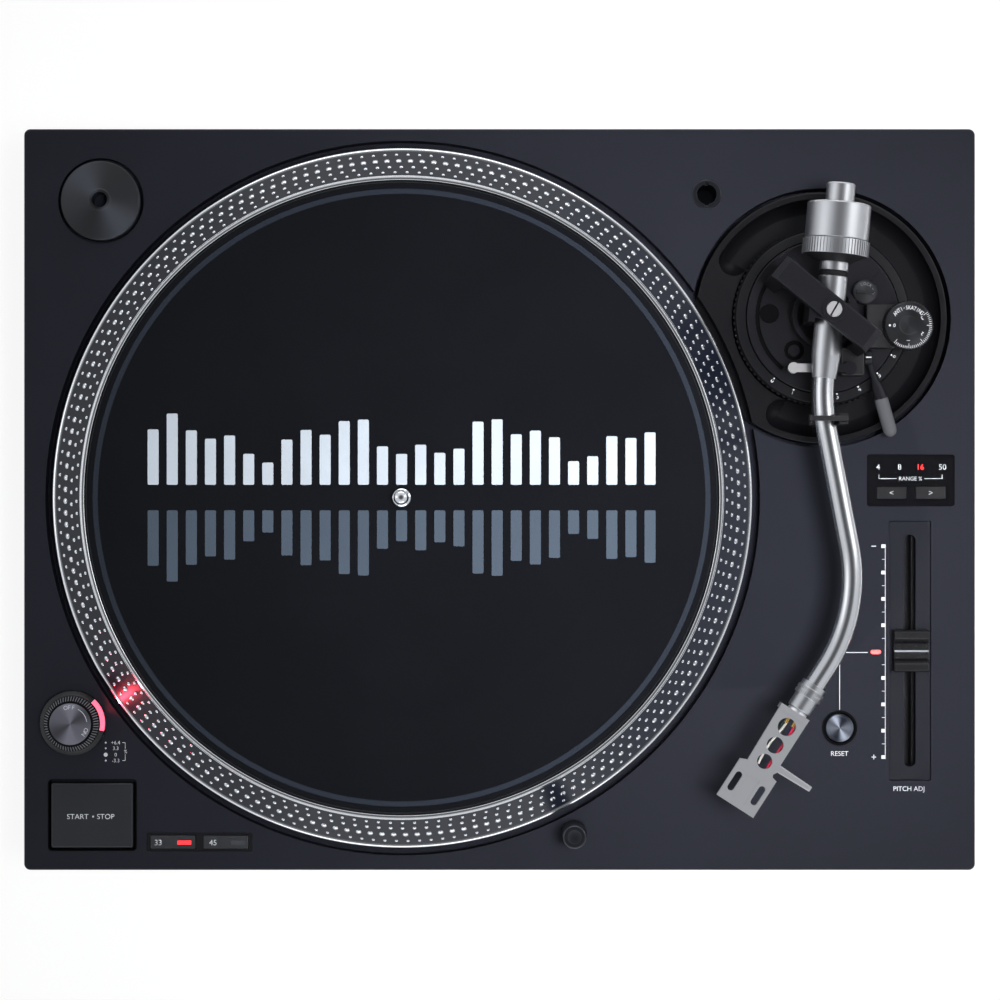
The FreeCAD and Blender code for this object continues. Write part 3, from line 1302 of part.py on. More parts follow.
def arm_housing():
    bore = TUBE_R + GLUE_GAP
    profile = [
        (0, -HOUSING_REAR), (HOUSING_R - 0.5, -HOUSING_REAR), (HOUSING_R, -HOUSING_REAR + 0.5),
        (HOUSING_R, HOUSING_FRONT), (CONE_R, CONE_FRONT), (bore, CONE_FRONT), (bore, TUBE_FROM),
        (0, TUBE_FROM),
    ]
    body = along(profile, arm_point(0), arm_front())
    centre = arm_point(0)
    holes = [
        rod(PITCH_PIN_R + RUN_GAP, centre + arm_side() * (sign * (HOUSING_R - 2.6)), arm_side() * sign, 4)
        for sign in (-1, 1)
    ]
    return body.cut(holes)


def arc_between(start, corner, end, run):
    """The arc that rounds a corner of the tube's line, and its two ends."""
    into = (start - corner).normalize()
    out = (end - corner).normalize()
    first = corner + into * run
    last = corner + out * run
    half = math.acos(max(-1.0, min(1.0, into.dot(out)))) / 2
    radius = run * math.tan(half)
    centre = corner + (into + out).normalize() * (run / math.cos(half))
    middle = centre + (corner - centre).normalize() * radius
    return first, Part.Arc(first, middle, last).toShape(), last


def tube_path():
    start = arm_point(TUBE_FROM)
    corner_1 = arm_point(BEND_1_AT)
    corner_2 = bend_2()
    end = tube_end()
    first_1, arc_1, last_1 = arc_between(start, corner_1, corner_2, BEND_1_RUN)
    first_2, arc_2, last_2 = arc_between(corner_1, corner_2, end, BEND_2_RUN)
    return Part.Wire([
        Part.makeLine(start, first_1), arc_1, Part.makeLine(last_1, first_2), arc_2,
        Part.makeLine(last_2, end),
    ])


def swept(radius, path):
    start = arm_point(TUBE_FROM)
    circle = Part.Wire([Part.makeCircle(radius, start, arm_front())])
    return path.makePipeShell([circle], True, False)


def arm_tube():
    """The S-shaped tube, bored for the leads and for the headshell's plug."""
    path = tube_path()
    outer = swept(TUBE_R, path)
    bore = swept(TUBE_R - TUBE_WALL, path)
    return outer.cut(bore)


def rear_stub():
    """The hollow end of the arm that the counterweight runs on."""
    profile = [
        (0, -STUB_REAR), (STUB_R - 0.6, -STUB_REAR), (STUB_R, -STUB_REAR + 0.6), (STUB_R, -COLLAR_TO),
        (HOUSING_R, -COLLAR_TO), (HOUSING_R, -COLLAR_FROM), (GROOVE_R, -COLLAR_FROM),
        (GROOVE_R, -HOUSING_REAR), (STUB_BORE_R, -HOUSING_REAR), (STUB_BORE_R, 3 - STUB_REAR),
        (0, 3 - STUB_REAR),
    ]
    return along(profile, arm_point(0), arm_front())


def counterweight():
    """A weight with a sleeve for the stub, hollowed from the rear, and a spigot for the dial."""
    spigot = WEIGHT_FRONT - DIAL_SPIGOT_L
    bore = STUB_R + RUN_GAP
    profile = [
        (bore, -WEIGHT_REAR), (WEIGHT_SLEEVE_R, -WEIGHT_REAR),
        (WEIGHT_SLEEVE_R, WEIGHT_RECESS - WEIGHT_REAR),
        (WEIGHT_R - WEIGHT_RIM, WEIGHT_RECESS - WEIGHT_REAR), (WEIGHT_R - WEIGHT_RIM, -WEIGHT_REAR),
        (WEIGHT_R - 0.6, -WEIGHT_REAR), (WEIGHT_R, -WEIGHT_REAR + 0.6),
        (WEIGHT_R, -WEIGHT_FRONT - 0.5), (WEIGHT_R - 0.5, -WEIGHT_FRONT), (DIAL_SPIGOT_R, -WEIGHT_FRONT),
        (DIAL_SPIGOT_R, -spigot), (bore, -spigot),
    ]
    return along(profile, arm_point(0), arm_front())


def weight_dial():
    """A knurled ring with a conical scale face, running on the counterweight's spigot."""
    rear = -WEIGHT_FRONT + 0.1
    front = rear + DIAL_KNURL_W
    spigot = -(WEIGHT_FRONT - DIAL_SPIGOT_L) + 0.1
    form = turned([
        (DIAL_SPIGOT_R + RUN_GAP, rear), (DIAL_R, rear), (DIAL_R, front), (DIAL_R - 1.6, front),
        (HOUSING_R + 0.6, -COLLAR_TO - FREE_GAP), (STUB_R + 0.2, -COLLAR_TO - FREE_GAP),
        (STUB_R + 0.2, spigot), (DIAL_SPIGOT_R + RUN_GAP, spigot),
    ])
    knurl = ribbed(DIAL_R, 0.4, DIAL_RIBS, rear - 1, 0)
    body = form.common(knurl)
    body.Placement = FreeCAD.Placement(arm_point(0), FreeCAD.Rotation(UP, arm_front()))
    return body


# Nut and headshell

def locking_nut():
    bore = TUBE_R + RUN_GAP
    form = turned([
        (bore, -NUT_REAR), (NUT_REAR_R, -NUT_REAR), (NUT_REAR_R, -NUT_KNURL_FROM),
        (NUT_KNURL_R - 0.4, -NUT_KNURL_FROM), (NUT_KNURL_R, -NUT_KNURL_FROM + 0.4),
        (NUT_KNURL_R, -NUT_KNURL_TO - 0.4), (NUT_KNURL_R - 0.4, -NUT_KNURL_TO), (NUT_R, -NUT_KNURL_TO),
        (NUT_R, -NUT_FRONT - 0.4), (NUT_R - 0.4, -NUT_FRONT), (bore, -NUT_FRONT),
    ])
    ring = ribbed(NUT_KNURL_R, 0.35, NUT_RIBS, -NUT_REAR - 1, 0)
    body = form.common(ring)
    body.Placement = FreeCAD.Placement(shell_rear(), FreeCAD.Rotation(UP, shell_front()))
    return body


def shell_face(u, v, z=0.0):
    """A point of the headshell: u to the front, v to the finger lift, z above the arm axis."""
    return shell_rear() + shell_front() * u + shell_side() * (v - SHELL_OFFSET) + UP * z


def headshell():
    """A plate on a rear wall with the plug, pierced and slotted, wider at the front."""
    low = SHELL_PLATE_RISE
    narrow = SHELL_NARROW_W / 2
    wide = SHELL_WIDE_W / 2
    points = [
        (0, -narrow), (0, narrow), (FINGER_AT - 2.2, narrow), (FINGER_AT - 0.8, narrow + 0.4),
        (FINGER_AT + 2.0, narrow + 0.4), (FINGER_AT + 3.6, narrow - 0.6),
        (SHELL_WIDE_FROM - 0.6, narrow), (SHELL_WIDE_FROM, wide), (SHELL_L, wide), (SHELL_L, -wide),
        (SHELL_WIDE_FROM, -wide), (SHELL_WIDE_FROM - 1.4, -narrow + 0.8), (FINGER_AT - 2.2, -narrow + 0.6),
    ]
    body = outline([shell_face(u, v, low) for u, v in points]).extrude(UP * SHELL_T)
    cuts = [Part.makeCylinder(r, SHELL_T + 2, shell_face(u, 0.4, low - 1)) for u, r in SHELL_HOLES]
    for v in (-SHELL_SLOT_PITCH / 2, SHELL_SLOT_PITCH / 2):
        half = SHELL_SLOT_W / 2
        ends = [SHELL_SLOT_FROM + half, SHELL_SLOT_TO - half]
        for u in ends:
            cuts.append(Part.makeCylinder(half, SHELL_T + 2, shell_face(u, v, low - 1)))
        corners = [(ends[0], v - half), (ends[1], v - half), (ends[1], v + half), (ends[0], v + half)]
        cuts.append(outline([shell_face(u, w, low - 1) for u, w in corners]).extrude(UP * (SHELL_T + 2)))
    dish_from = SHELL_SLOT_FROM - 1.1
    dish_to = SHELL_SLOT_TO + 2.1
    half = (SHELL_SLOT_PITCH - SHELL_SLOT_W) / 2 - 1.2
    dish = [(dish_from, -half), (dish_to, -half), (dish_to, half), (dish_from, half)]
    cuts.append(outline([shell_face(u, v, low + SHELL_T - 0.5) for u, v in dish]).extrude(UP * 2))
    body = body.cut(cuts)
    wall_low = -PLUG_R - 1.0
    corners = [(0, -narrow), (SHELL_WALL_T, -narrow), (SHELL_WALL_T, narrow), (0, narrow)]
    wall = outline([shell_face(u, v, wall_low) for u, v in corners]).extrude(
        UP * (low + SHELL_T + 0.6 - wall_low))
    plug = rod(PLUG_R, shell_rear() - shell_front() * PLUG_L, shell_front(), PLUG_L + 0.5)
    pins = pin_spots()
    holes = [
        rod(PIN_R, p - shell_front() * 1.0, shell_front(), SHELL_WALL_T + 3) for p in pins
    ]
    neck = rod(NECK_R, shell_rear() - shell_front() * (NUT_FRONT - FREE_GAP), shell_front(), NUT_FRONT)
    body = body.fuse([wall, plug, neck])
    return body.cut(holes).removeSplitter()


def pin_spots():
    """Where the four contact pins leave the headshell's rear wall."""
    return [
        shell_rear() + shell_side() * (PIN_SPREAD * a) + UP * (PIN_SPREAD * b)
        for a in (-1, 1) for b in (-1, 1)
    ]


def finger_lift():
    """A tapered bar that stands out sideways from the headshell and curls up a little at its tip."""
    low = SHELL_PLATE_RISE - FINGER_T
    root = FINGER_ROOT_W / 2
    tip = FINGER_TIP_W / 2
    start = SHELL_NARROW_W / 2 - 3.6
    end = SHELL_NARROW_W / 2 + FINGER_L
    points = [
        (FINGER_AT - root, start), (FINGER_AT - tip, end),
        (FINGER_AT + tip, end), (FINGER_AT + root, start),
    ]
    bar = outline([shell_face(u, v, low) for u, v in points]).extrude(UP * FINGER_T)
    hole_at, hole_r = SHELL_HOLES[2]
    return bar.cut(Part.makeCylinder(hole_r, FINGER_T + 2, shell_face(hole_at, 0.4, low - 1)))


def shell_wires():
    """Four contact pins in the rear wall, each with a lead to the front."""
    solids = []
    front = shell_front()
    for p in pin_spots():
        pin = rod(PIN_R, p - front * 0.8, front, SHELL_WALL_T + 4.6)
        lead = rod(LEAD_R, p + front * (SHELL_WALL_T + 3.6), front, LEAD_L)
        solids.append(pin.fuse(lead))
    return Part.makeCompound(solids)


# Arm rest, clip, lift, lock and anti-skate

def rest_centre():
    """A point of the tube's line above the arm rest."""
    corner = arm_point(BEND_1_AT)
    out = (bend_2() - corner).normalize()
    return corner + out * (REST_AT - BEND_1_AT)


def arm_rest():
    """A post from the mount plate with a ledge under the tube and a block beside it."""
    centre = rest_centre()
    x = centre.x
    y = centre.y
    half = REST_W / 2
    ledge_z = ARM_Z - TUBE_R - FREE_GAP
    block_x = x + TUBE_R + REST_BLOCK_GAP
    hub_z = ARM_Z + CLIP_HUB_RISE
    block_top = hub_z - CLIP_HUB_R - FREE_GAP
    top = MOUNT_Z + 4.0
    shapes = [
        slab(x - 3.2, x + 3.2, y - half, ARM_Y - MOUNT_R + 7, MOUNT_Z, top),
        slab(x - 3.2, x + 3.2, y - half, y + half, top - 1, ledge_z - 3),
        slab(x - REST_LEDGE, block_x + REST_BLOCK_W, y - half, y + half, ledge_z - 4, ledge_z),
        slab(block_x, block_x + REST_BLOCK_W, y - half, y + half, ledge_z - 1, block_top),
    ]
    ears = [
        slab(block_x, block_x + REST_BLOCK_W, y - half, y - CLIP_D / 2 - SLIDE_GAP / 2, ledge_z, hub_z + 2),
        slab(block_x, block_x + REST_BLOCK_W, y + CLIP_D / 2 + SLIDE_GAP / 2, y + half, ledge_z, hub_z + 2),
    ]
    body = joined(shapes + ears)
    pin_from = vec(block_x + REST_BLOCK_W / 2, y - half - 1, hub_z)
    pin_hole = rod(0.8 + RUN_GAP, pin_from, vec(0, 1, 0), REST_W + 2)
    return body.cut(pin_hole)


def arm_clip():
    """The hinged catch over the tube, on its pin."""
    centre = rest_centre()
    y = centre.y
    half = CLIP_D / 2
    hinge_x = centre.x + TUBE_R + REST_BLOCK_GAP + REST_BLOCK_W / 2
    hinge_z = ARM_Z + CLIP_HUB_RISE
    roof = ARM_Z + TUBE_R + CLIP_ROOM
    left = centre.x - TUBE_R - 1.4
    lip_low = ARM_Z + TUBE_R + 0.6
    points = [
        (hinge_x + 1.4, hinge_z), (hinge_x + 1.4, roof + CLIP_T), (left, roof + CLIP_T),
        (left - CLIP_LIP_W, roof + CLIP_T - 1), (left - CLIP_LIP_W, lip_low), (left, lip_low), (left, roof),
        (hinge_x - 1.4, roof), (hinge_x - 1.4, hinge_z),
    ]
    face = outline([vec(x, y - half, z) for x, z in points])
    band = face.extrude(vec(0, CLIP_D, 0))
    hub = rod(CLIP_HUB_R, vec(hinge_x, y - half, hinge_z), vec(0, 1, 0), CLIP_D)
    pin = rod(0.8, vec(hinge_x, y - REST_W / 2, hinge_z), vec(0, 1, 0), REST_W)
    return band.fuse([hub, pin])


def lift_block():
    top = LIFT_BLOCK_TOP
    body = plate(LIFT_X, LIFT_Y, LIFT_BLOCK_W, LIFT_BLOCK_D, MOUNT_Z, top, 1.0)
    body = body.makeChamfer(0.6, edges_at(body, top))
    rod_x, rod_y = lift_rod_spot()
    rod_hole = disc(LIFT_ROD_R + RUN_GAP, MOUNT_Z - 1, top + 1, rod_x, rod_y)
    pin_hole = rod(
        LEVER_PIN_R + RUN_GAP, vec(LIFT_X + LIFT_BLOCK_W / 2 - 3.5, lever_y(), lever_z()), vec(1, 0, 0), 5)
    return body.cut([rod_hole, pin_hole])


def lift_rod_spot():
    return LIFT_X - LIFT_BLOCK_W / 2 + 3.4, LIFT_Y - LIFT_BLOCK_D / 2 + 3.2


def lift_bar_top():
    """Top of the bar at rest: its travel and its clearance below the arm housing."""
    return ARM_Z - HOUSING_R - LIFT_CLEAR - LIFT_TRAVEL


def lift_bar():
    """The rod in the lift block with the bar that passes under the arm."""
    x, y = lift_rod_spot()
    top = lift_bar_top()
    bar = slab(x - LIFT_BAR_L, x + 1, y - LIFT_BAR_W / 2, y + LIFT_BAR_W / 2, top - LIFT_BAR_T, top)
    post = disc(LIFT_ROD_R, MOUNT_Z + 0.5, top - 1, x, y)
    cap = disc(LIFT_ROD_R + 1.2, top - LIFT_BAR_T, top, x, y)
    head = disc(LIFT_HEAD_R, top - LIFT_BAR_T - 1.5, top + LIFT_HEAD_RISE, x - LIFT_BAR_L, y)
    return bar.fuse([post, cap, head])


def lever_y():
    return LIFT_Y + 2.1


def lever_z():
    return MOUNT_Z + LEVER_HUB_RISE


def lift_lever():
    """The cueing lever: a hub on a pin, a bent neck and a round grip."""
    hub_x = LIFT_X + LIFT_BLOCK_W / 2 + FREE_GAP
    y = lever_y()
    z = lever_z()
    hub = rod(LEVER_HUB_R, vec(hub_x, y, z), vec(1, 0, 0), LEVER_HUB_T)
    pin = rod(LEVER_PIN_R, vec(hub_x - 3.3, y, z), vec(1, 0, 0), 3.8)
    mid_x = hub_x + LEVER_HUB_T / 2
    knee = vec(mid_x + LEVER_KNEE[0], y - LEVER_KNEE[1], z - LEVER_DROP * 0.8)
    tip_a = vec(mid_x + GRIP_FROM[0], y - GRIP_FROM[1], z - LEVER_DROP)
    tip_b = vec(mid_x + GRIP_TO[0], y - GRIP_TO[1], z - LEVER_DROP)
    root = vec(mid_x, y, z)
    neck = Part.makeLoft([
        Part.makePolygon([
            p + vec(w, 0, h), p + vec(w, 0, -h), p + vec(-w, 0, -h), p + vec(-w, 0, h), p + vec(w, 0, h),
        ])
        for p, w, h in ((root, 1.3, 1.6), (knee, 1.5, 1.3), (tip_a, 2.2, 1.2))
    ], True, True)
    grip = rod(LEVER_TIP_R, tip_a, tip_b - tip_a, (tip_b - tip_a).Length)
    balls = [Part.makeSphere(LEVER_TIP_R, tip_a), Part.makeSphere(LEVER_TIP_R, tip_b)]
    return hub.fuse([pin, neck, grip, *balls])


def lock_knob():
    low = MOUNT_Z + FREE_GAP
    x = ARM_X + LOCK_X
    y = ARM_Y + LOCK_Y
    top = low + LOCK_H
    cap = turned([
        (0, low), (LOCK_R, low), (LOCK_R, top - 0.6), (LOCK_R - 0.6, top), (0, top),
    ], x, y)
    grip = plate(x, y, 2 * LOCK_R - 3.4, 1.6, top - 0.5, top + 1.2)
    return cap.fuse([disc(2.0, MOUNT_Z - 4, low + 1, x, y), grip])


def skate_box_end():
    return ARM_X + SKATE_X, ARM_Y + SKATE_Y


def anti_skate_box():
    """The box that carries the anti-skate knob past the height ring."""
    x, y = skate_box_end()
    half = SKATE_BOX_W / 2
    box = slab(ARM_X + SKATE_BOX_FROM, x, y - half, y + half, MOUNT_Z, SKATE_TOP_Z)
    end = disc(half, MOUNT_Z, SKATE_TOP_Z, x, y)
    cuts = [
        disc(2.5 + RUN_GAP, SKATE_TOP_Z - 6, SKATE_TOP_Z + 1, x, y),
        bridge_clearance(MOUNT_Z - 1, SKATE_TOP_Z + 1),
    ]
    return joined([box, end]).cut(cuts)


def anti_skate_knob():
    x, y = skate_box_end()
    low = SKATE_TOP_Z + FREE_GAP
    top = low + SKATE_KNOB_H
    form = turned([
        (0, low), (SKATE_KNOB_R, low), (SKATE_KNOB_R, low + 2.0), (SKATE_KNOB_R - 1.2, top - 0.5),
        (5.2, top), (4.4, top + 0.6), (0, top - 0.4),
    ], x, y)
    knurl = ribbed(SKATE_KNOB_R, 0.35, SKATE_RIBS, low - 1, top + 2, x, y)
    return form.common(knurl).fuse(disc(2.5, SKATE_TOP_Z - 5, low + 1, x, y))


def build():
    single = (
        plinth_top, plinth_base, base_screws, motor_stator, spindle_bearing, control_board, power_supply,
        strobe_housing, strobe_window, speed_bezel, pitch_panel, fader_body, range_panel, light_sleeve,
        shell_stand, arm_base_plate, phono_jacks, ground_terminal, ac_inlet, platter, platter_damper,
        rotor_magnet, spindle, slipmat, start_stop_button, reset_button, pitch_knob, power_knob,
        target_light, adapter_45, arm_mount_plate, gimbal_bridge, arm_screws, arm_rest, lift_block,
        anti_skate_box, height_ring, lock_knob, anti_skate_knob, lift_lever, lift_bar, arm_clip,
        gimbal_ring, arm_housing, arm_tube, rear_stub, counterweight, weight_dial, locking_nut,
        headshell, finger_lift, shell_wires,
    )
    for make in single:
        NODES[make.__name__] = make()
    for name, (x, y) in four(FOOT_FROM_SIDE, FOOT_FROM_FRONT).items():
        NODES[f"foot_{name}"] = foot(x, y)
    for name, x in speed_spots().items():
        NODES[f"speed_button_{name}"] = small_button(
            x, SPEED_Y, SPEED_BUTTON_W, SPEED_BUTTON_D, DECK_Z + BUTTON_PROUD, INSERT_Z)
    for name, x in range_spots().items():
        NODES[f"range_button_{name}"] = small_button(
            x, RANGE_Y - RANGE_BUTTON_BACK, RANGE_BUTTON_W, RANGE_BUTTON_D,
            DECK_Z + RANGE_RISE + BUTTON_PROUD, INSERT_Z)


def write():
    os.makedirs("parts", exist_ok=True)
    for name, shape in NODES.items():
        shape.exportStep(f"parts/{name}.step")


build()
write()
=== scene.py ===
"""The looks of a direct-drive record turntable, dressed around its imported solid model.

Lengths are in millimetres up to the point where a mesh is made, and in metres in the scene.
"""

import logging
import math
from dataclasses import dataclass, field
from enum import Enum
from typing import Any, Callable, Iterable, Sequence

import bmesh
import bpy
from mathutils import Matrix, Vector

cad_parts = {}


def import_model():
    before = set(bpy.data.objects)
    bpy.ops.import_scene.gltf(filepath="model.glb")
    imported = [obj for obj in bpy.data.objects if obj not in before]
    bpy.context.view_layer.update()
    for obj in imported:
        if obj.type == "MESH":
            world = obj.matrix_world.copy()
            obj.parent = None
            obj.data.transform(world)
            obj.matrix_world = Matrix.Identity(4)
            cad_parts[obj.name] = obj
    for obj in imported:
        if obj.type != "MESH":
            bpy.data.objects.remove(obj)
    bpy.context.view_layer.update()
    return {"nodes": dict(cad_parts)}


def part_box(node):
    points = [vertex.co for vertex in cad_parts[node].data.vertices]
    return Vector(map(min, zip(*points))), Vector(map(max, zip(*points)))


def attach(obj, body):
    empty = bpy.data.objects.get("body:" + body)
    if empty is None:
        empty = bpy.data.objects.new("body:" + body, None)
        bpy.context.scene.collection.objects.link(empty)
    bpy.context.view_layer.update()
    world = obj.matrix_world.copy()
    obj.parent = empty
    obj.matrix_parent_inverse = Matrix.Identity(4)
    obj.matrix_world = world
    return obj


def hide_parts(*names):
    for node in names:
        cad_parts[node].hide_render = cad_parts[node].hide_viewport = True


log = logging.getLogger("turntable")

MM = 0.001
SHARP = math.radians(32)  # An edge stays sharp from this angle on
LEVEL = math.radians(0.6)  # Faces that differ by less become one
WELD = 0.002
FULL = 255
Color = tuple[int, int, int]
Point2 = tuple[float, float]
Point3 = tuple[float, float, float]
BMesh, Material, Mesh = bmesh.types.BMesh, bpy.types.Material, bpy.types.Mesh
Piece, Socket = bpy.types.Object, bpy.types.NodeSocket


def linear(red: int, green: int, blue: int) -> Point3:
    """Turn an 8-bit colour as seen on a screen into linear light.

    Args:
        red, green, blue: The colour's parts, from 0 to 255.

    Returns:
        The same colour in linear light, from 0 to 1.
    """
    def part(value: int) -> float:
        """One part in linear light."""
        share = value / FULL
        return share / 12.92 if share <= 0.04045 else ((share + 0.055) / 1.055) ** 2.4

    return part(red), part(green), part(blue)


# Sizes that several pieces share, as in the solid model

DECK_Z = 92.0
PLATTER_AT = (-46.1, 0.7)
ARM_AT = (153.2, 86.4)
ARM_Z = 131.0
MOUNT_Z = 100.5
ARM_LEAN = math.radians(5.1)
SHELL_TURN = math.radians(32.7)
ARM_FRONT = Vector((-math.sin(ARM_LEAN), -math.cos(ARM_LEAN), 0))
SHELL_FRONT = Vector((-math.sin(SHELL_TURN), -math.cos(SHELL_TURN), 0))
SHELL_SIDE = Vector((math.cos(SHELL_TURN), -math.sin(SHELL_TURN), 0))
PIVOT = Vector((*ARM_AT, ARM_Z))
BEND_2 = Vector((167.87, -52.4, ARM_Z))
TUBE_END = BEND_2 + SHELL_FRONT * 54.2
SHELL_REAR = TUBE_END + SHELL_FRONT * 1.4
PHOTO_X = 0.47785  # Millimetres to a pixel
PHOTO_Y = 0.47446
PHOTO_SIDE = 1000
PHOTO_MIDDLE = 499.5


def photo(px: float, py: float) -> Point2:
    """Where a place on the deck lies, from its place in the photograph.

    Args:
        px, py: Pixels from the photograph's left and top.

    Returns:
        Millimetres from the plinth's centre.
    """
    return (px - PHOTO_MIDDLE) * PHOTO_X, (PHOTO_MIDDLE - py) * PHOTO_Y


# Shader and geometry node graphs

class Value:
    """A socket that can be used in arithmetic: each operator adds a Math node."""

    def __init__(self, graph: "NodeGraph", socket: Socket) -> None:
        """Wrap one output socket of a graph."""
        self.graph = graph
        self.socket = socket

    def math(self, operation: str, other: Any = None) -> "Value":
        """Add a Math node.

        Args:
            operation: The Math node's operation.
            other: The second number or value, where the operation has one.

        Returns:
            The node's result.
        """
        terms = [self] if other is None else [self, other]
        node = self.graph.node("ShaderNodeMath", dict(enumerate(terms)), operation=operation)
        return Value(self.graph, node.outputs[0])

    def __add__(self, other: Any) -> "Value":
        """Sum."""
        return self.math("ADD", other)

    __radd__ = __add__

    def __sub__(self, other: Any) -> "Value":
        """Difference."""
        return self.math("SUBTRACT", other)

    def __mul__(self, other: Any) -> "Value":
        """Product."""
        return self.math("MULTIPLY", other)

    def __lt__(self, other: Any) -> "Value":
        """1 where this is less."""
        return self.math("LESS_THAN", other)


class NodeGraph:
    """A node tree with one method for any node."""

    def __init__(self, tree: bpy.types.NodeTree) -> None:
        """Start on an empty tree."""
        self.tree = tree
        tree.nodes.clear()

    def node(self, kind: str, sockets: dict | None = None, **settings: Any) -> bpy.types.Node:
        """Add a node, set it and link it.

        Args:
            kind: The node's type.
            sockets: Values or links of its inputs, by name or place.
            settings: Its properties, set first.

        Returns:
            The node.
        """
        made = self.tree.nodes.new(kind)
        for name, value in settings.items():
            setattr(made, name, value)
        for key, value in (sockets or {}).items():
            self.feed(made.inputs[key], value)
        return made

    def feed(self, target: Socket, value: Any) -> None:
        """Link a node's first output, a value or a socket to an input, or set it to a constant."""
        if isinstance(value, bpy.types.Node):
            value = value.outputs[0]
        elif isinstance(value, Value):
            value = value.socket
        if isinstance(value, Socket):
            self.tree.links.new(value, target)
        else:
            target.default_value = value

    def out(self, node: bpy.types.Node, output: str | int = 0) -> Value:
        """A node's output as a value."""
        return Value(self, node.outputs[output])


class Shader(NodeGraph):
    """A material's graph, with the parts that several finishes share."""

    def __init__(self, name: str) -> None:
        """Make an empty material.

        Args:
            name: The material's name.
        """
        self.material = bpy.data.materials.new(name)
        self.material.use_nodes = True
        super().__init__(self.material.node_tree)
        self.place = self.node("ShaderNodeTexCoord").outputs["Object"]

    def mapped(self, centre: Sequence[float] = (0, 0, 0), scale: Sequence[float] = (1, 1, 1)) -> Socket:
        """Object coordinates about a centre.

        Args:
            centre: The place, in metres, that becomes the origin.
            scale: The factors along each axis.

        Returns:
            The mapped coordinates.
        """
        moved = self.node("ShaderNodeVectorMath", {0: self.place, 1: tuple(centre)}, operation="SUBTRACT")
        return self.node("ShaderNodeMapping", {"Vector": moved, "Scale": tuple(scale)}).outputs[0]

    def noise(self, vector: Any, scale: float, detail: float = 2.0) -> Value:
        """A noise pattern.

        Args:
            vector: The link or node of the coordinates that it reads.
            scale: Its features per metre.
            detail: Its octaves.

        Returns:
            The pattern, from 0 to 1.
        """
        return self.out(self.node("ShaderNodeTexNoise", {"Vector": vector, "Scale": scale, "Detail": detail}))

    def radius(self, centre: Sequence[float]) -> Value:
        """Distance from an upright axis, in metres.

        Args:
            centre: A point of the axis.

        Returns:
            The distance.
        """
        flat = self.mapped(centre, (1, 1, 0))
        return self.out(self.node("ShaderNodeVectorMath", {0: flat}, operation="LENGTH"), "Value")

    def mix(self, factor: Any, first: Any, second: Any) -> Socket:
        """Mix two colours.

        Args:
            factor: The share of the second.
            first, second: Colours or links.

        Returns:
            The mixed colour.
        """
        return self.node("ShaderNodeMix", {0: factor, 6: first, 7: second}, data_type="RGBA").outputs[2]

    def bump(self, height: Value, strength: float, distance: float) -> Socket:
        """A surface relief.

        Args:
            height: The relief, from 0 to 1.
            strength: Its share.
            distance: Its depth in metres.

        Returns:
            The normal.
        """
        sockets = {"Height": height, "Strength": strength, "Distance": distance}
        return self.node("ShaderNodeBump", sockets).outputs[0]

    def surface(self, **sockets: Any) -> Material:
        """Close the graph with a Principled shader.

        Args:
            sockets: Inputs of the shader, with spaces as underscores.

        Returns:
            The finished material.
        """
        named = {key.replace("_", " "): value for key, value in sockets.items()}
        self.node("ShaderNodeOutputMaterial", {"Surface": self.node("ShaderNodeBsdfPrincipled", named)})
        return self.material


def shade(color: Color, factor: float = 1.0) -> tuple[float, float, float, float]:
    """An 8-bit colour in linear light with full alpha, made lighter or darker."""
    red, green, blue = [min(1.0, part * factor) for part in linear(*color)]
    return red, green, blue, 1.0


@dataclass(frozen=True)
class Moulded:
    """Paint, plastic or rubber with a fine grain and a slightly uneven tone."""

    name: str
    color: Color
    roughness: float = 0.5
    grain: float = 2600.0
    depth: float = 0.00003
    strength: float = 0.25
    uneven: float = 0.12
    coat: float = 0.0
    specular: float = 0.5

    def make(self) -> Material:
        """Build the material."""
        graph = Shader(self.name)
        fine = graph.noise(graph.place, self.grain, 3.0)
        broad = graph.noise(graph.place, 38.0, 3.0)
        tone = broad * 0.6 + fine * 0.4
        return graph.surface(
            Base_Color=graph.mix(tone, shade(self.color, 1 - self.uneven), shade(self.color, 1 + self.uneven)),
            Roughness=self.roughness - 0.06 + broad * 0.12,
            Specular_IOR_Level=self.specular,
            Coat_Weight=self.coat,
            Coat_Roughness=0.08,
            Normal=graph.bump(fine, self.strength, self.depth),
        )


class Brushing(Enum):
    """How a metal's surface was worked."""

    BLASTED = "blasted"
    TURNED = "turned"


@dataclass(frozen=True)
class Metal:
    """Bare or anodised metal with the marks of its tool."""

    name: str
    color: Color
    roughness: float = 0.3
    brushing: Brushing = Brushing.BLASTED
    centre: Point3 = (0.0, 0.0, 0.0)
    marks: float = 0.08
    metallic: float = 1.0

    def make(self) -> Material:
        """Build the material."""
        graph = Shader(self.name)
        if self.brushing is Brushing.TURNED:
            around = graph.radius([part * MM for part in self.centre])
            height = graph.node("ShaderNodeSeparateXYZ", {0: graph.place}).outputs[2]
            lines = graph.node("ShaderNodeCombineXYZ", {0: around, 1: height})
            streak = graph.noise(lines, 2400.0, 4.0)
        else:
            streak = graph.noise(graph.place, 5200.0, 3.0)
        broad = graph.noise(graph.place, 60.0, 2.0)
        tone = streak * 0.75 + broad * 0.25
        return graph.surface(
            Base_Color=graph.mix(tone, shade(self.color, 1 - self.marks), shade(self.color, 1 + self.marks)),
            Metallic=self.metallic,
            Roughness=self.roughness - self.marks * 0.5 + streak * self.marks,
            Normal=graph.bump(streak, 0.12, 0.00001),
        )


